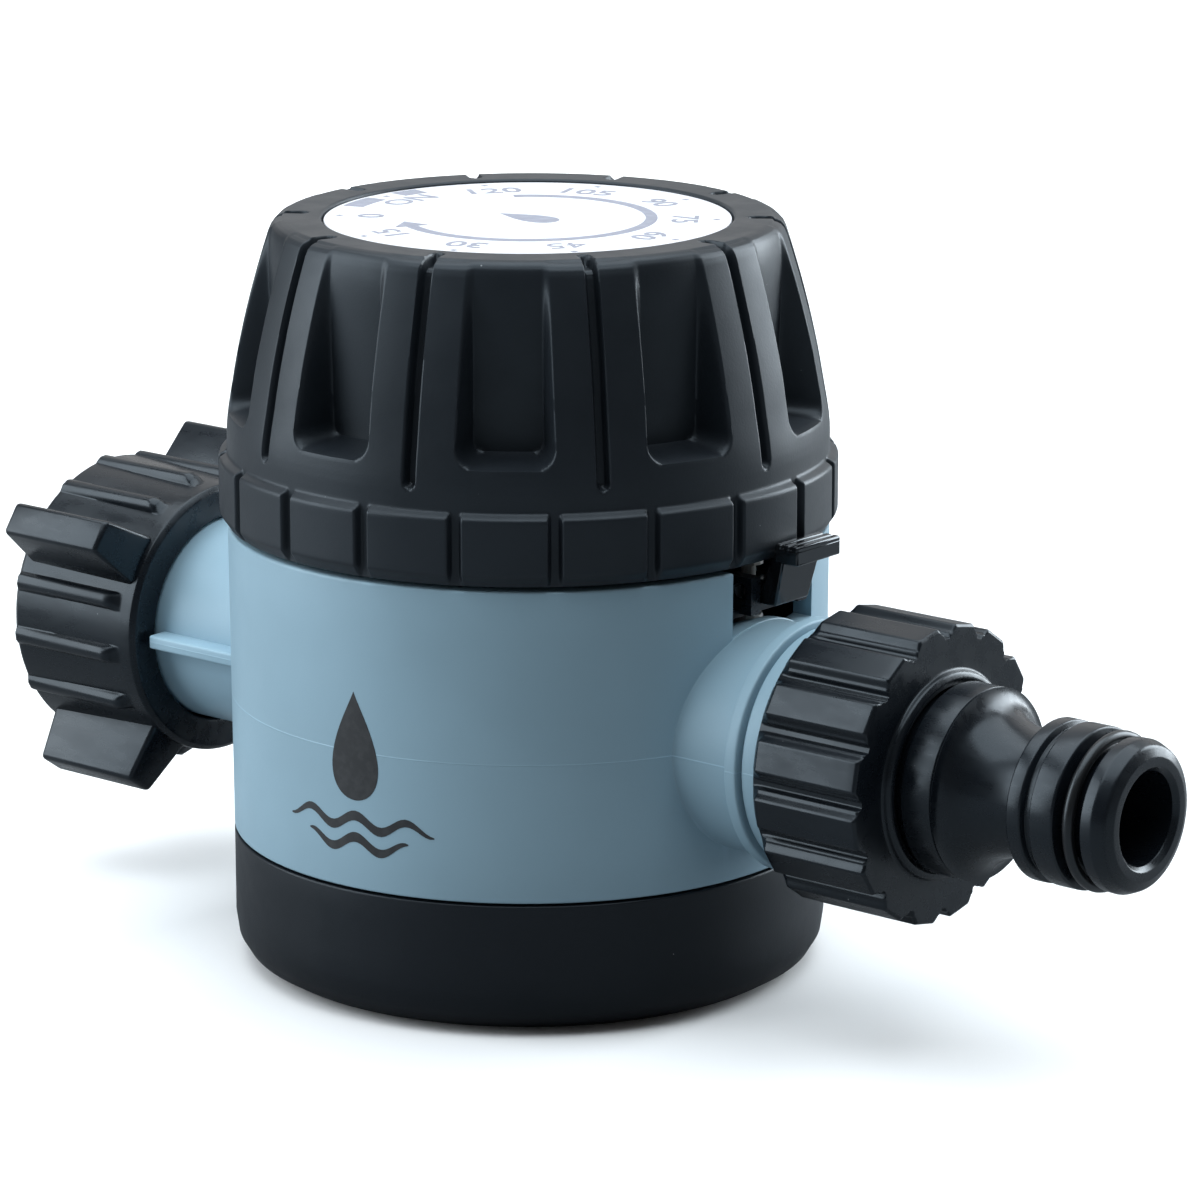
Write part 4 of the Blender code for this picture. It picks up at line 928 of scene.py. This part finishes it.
# moulded: colour, roughness, grain size and depth, dust, wear, specular, drift, parting line
MOULDED = {
    "blue_grey_body": ((0.280, 0.420, 0.505), 0.42, 0.3, 0.01, 0.03, 0.3, 0.45, 0.035, PIPE_Z),
    "satin_black": ((0.0085, 0.0115, 0.0155), 0.42, 0.28, 0.012, 0.16, 0.35, 0.40, 0.12),
    # the base cap's copy of the dial's black plastic at about half its colour: painted shade on the lower
    # part
    "satin_black_shaded": ((0.0042, 0.0056, 0.0084), 0.42, 0.22, 0.01, 0.06, 0.3, 0.34, 0.12),
    "label_white": ((0.80, 0.80, 0.84), 0.35, 0.6, 0.004, 0.02, 0.1, 0.4, 0.01),
    "dark_grey": ((0.05, 0.055, 0.06), 0.5, 0.3, 0.012, 0.02, 0.3),
    "white_plastic": ((0.72, 0.72, 0.69), 0.4, 0.4, 0.006, 0.0, 0.2, 0.45, 0.02),
    "rubber": ((0.007, 0.007, 0.0075), 0.33, 0.35, 0.006, 0.03, 0.3, 0.5, 0.1),
}
LOOKS = {name: moulded(name, *values) for name, values in MOULDED.items()}
LOOKS |= {
    "gloss_black": scratched("gloss_black", (0.0040, 0.0056, 0.0080), 0.28, 0.4),
    "gloss_lever": scratched("gloss_lever", (0.004, 0.0045, 0.0055), 0.14, 0.6),
    "print_grey": ink("print_grey", (0.26, 0.27, 0.33), 0.5),
    "print_black": ink("print_black", (0.02, 0.022, 0.025), 0.45),
    "steel": metal("steel", (0.62, 0.62, 0.63), 0.3, (1.0, 1.0, 0.1)),
    "brass": metal("brass", (0.78, 0.58, 0.28), 0.28, (0.2, 1.0, 1.0)),
}


def paint_frame():
    """Give every CAD node the look of its material slot in the record."""
    for part in frame["record"]["subparts"]:
        materials = frame["nodes"][part["node"]].data.materials
        materials.clear()
        materials.append(LOOKS[part["material_slot"]])


# ------------------------------------------------------------------ stage, light and camera

def area(name, spot, aim, size, power, colour=(1.0, 1.0, 1.0)):
    """A soft rectangular light, in metres, aimed at a point."""
    lamp = bpy.data.lights.new(name, 'AREA')
    lamp.shape = 'RECTANGLE'
    lamp.size, lamp.size_y = size
    lamp.energy = power
    lamp.color = colour
    obj = bpy.data.objects.new(name, lamp)
    link(obj)
    obj.location = spot
    obj.rotation_euler = (Vector(aim) - Vector(spot)).to_track_quat('-Z', 'Y').to_euler()


COOL = (0.88, 0.95, 1.0)
WHITE = (1.0, 1.0, 1.0, 1.0)
SHADED_SKY, SEEN_SKY = 0.11, 1.0
FLOOR_Z, FLOOR_HALF = -0.0002, 3.0
VIEW_ANGLE = math.radians(39.54)
VIEW_RISE = math.radians(14.43)
VIEW_DISTANCE = 0.5884
LENS, SENSOR = 159.1, 36.0
RIGHT = Vector((math.cos(VIEW_ANGLE), math.sin(VIEW_ANGLE), 0.0))
BACK = Vector((math.sin(VIEW_ANGLE) * math.cos(VIEW_RISE), -math.cos(VIEW_ANGLE) * math.cos(VIEW_RISE),
               math.sin(VIEW_RISE)))
TARGET = RIGHT * 0.00786 + Vector((0, 0, 0.03985))


def make_camera():
    """A long lens, slightly above the object and to the outlet's side of its front."""
    data = bpy.data.cameras.new("camera")
    data.lens = LENS
    data.sensor_width = SENSOR
    data.clip_start, data.clip_end = 0.01, 20.0
    camera = bpy.data.objects.new("camera", data)
    link(camera)
    camera.location = TARGET + BACK * VIEW_DISTANCE
    camera.rotation_euler = (-BACK).to_track_quat('-Z', 'Y').to_euler()
    bpy.context.scene.camera = camera


def make_stage():
    """A pale floor that lights the object less than it looks, and fades to white far away."""
    bm = bmesh.new()
    corners = ((-1, -1), (1, -1), (1, 1), (-1, 1))
    bm.faces.new([bm.verts.new((FLOOR_HALF * i, FLOOR_HALF * j, FLOOR_Z)) for i, j in corners])
    mesh = mesh_from("floor", bm)
    n = Nodes("floor")
    pale = n.mix(n.ramp(n.noise(6.0), 0.3, 0.7), (0.94, 0.94, 0.94), (0.95, 0.95, 0.95))
    seen = n.new('ShaderNodeLightPath').outputs["Is Camera Ray"]
    n.link(n.mix(seen, (0.24, 0.25, 0.26), pale), n.shader.inputs["Base Color"])
    n.shader.inputs["Roughness"].default_value = 0.9
    n.shader.inputs["Specular IOR Level"].default_value = 0.1
    reach = n.new('ShaderNodeVectorMath', operation='LENGTH')
    n.link(n.place, reach.inputs[0])
    glow = n.maths('MULTIPLY', n.ramp(reach.outputs["Value"], 0.25, 0.9), seen)
    n.link(glow, n.shader.inputs["Emission Strength"])
    n.shader.inputs["Emission Color"].default_value = WHITE
    mesh.materials.append(n.material)
    floor = bpy.data.objects.new("floor", mesh)
    link(floor)


def make_light():
    """A white surround, two side boxes, a weak back box and a wide top box."""
    world = bpy.data.worlds.new("studio")
    bpy.context.scene.world = world
    world.use_nodes = True
    tree = world.node_tree
    sky = tree.nodes["Background"]
    path = tree.nodes.new('ShaderNodeLightPath')
    level = tree.nodes.new('ShaderNodeMapRange')
    level.inputs["To Min"].default_value = SHADED_SKY
    level.inputs["To Max"].default_value = SEEN_SKY
    tree.links.new(path.outputs["Is Camera Ray"], level.inputs["Value"])
    tree.links.new(level.outputs["Result"], sky.inputs["Strength"])
    sky.inputs["Color"].default_value = WHITE
    near = Vector((BACK.x, BACK.y, 0)).normalized()
    up = Vector((0, 0, 1))
    middle = (0.01, 0.0, 0.045)
    area("left_box", -RIGHT * 0.80 + near * 0.02 + up * 0.30, middle, (0.7, 0.9), 9.0, COOL)
    area("right_box", RIGHT * 0.75 - near * 0.45 + up * 0.25, middle, (0.45, 0.9), 13.0, COOL)
    area("back_box", -near * 0.9 + up * 0.45, middle, (1.2, 0.7), 1.8)
    area("top_box", -near * 0.1 + up * 1.6, (0, 0, 0), (2.0, 2.0), 40.0, COOL)
    bpy.context.scene.view_settings.view_transform = 'Standard'


make_camera()
make_stage()
make_light()
paint_frame()
make_body()
make_mark()
make_base()
make_outlet_nut()
make_nipple()
make_inlet_nut()
make_lever()
make_dial()
make_label()
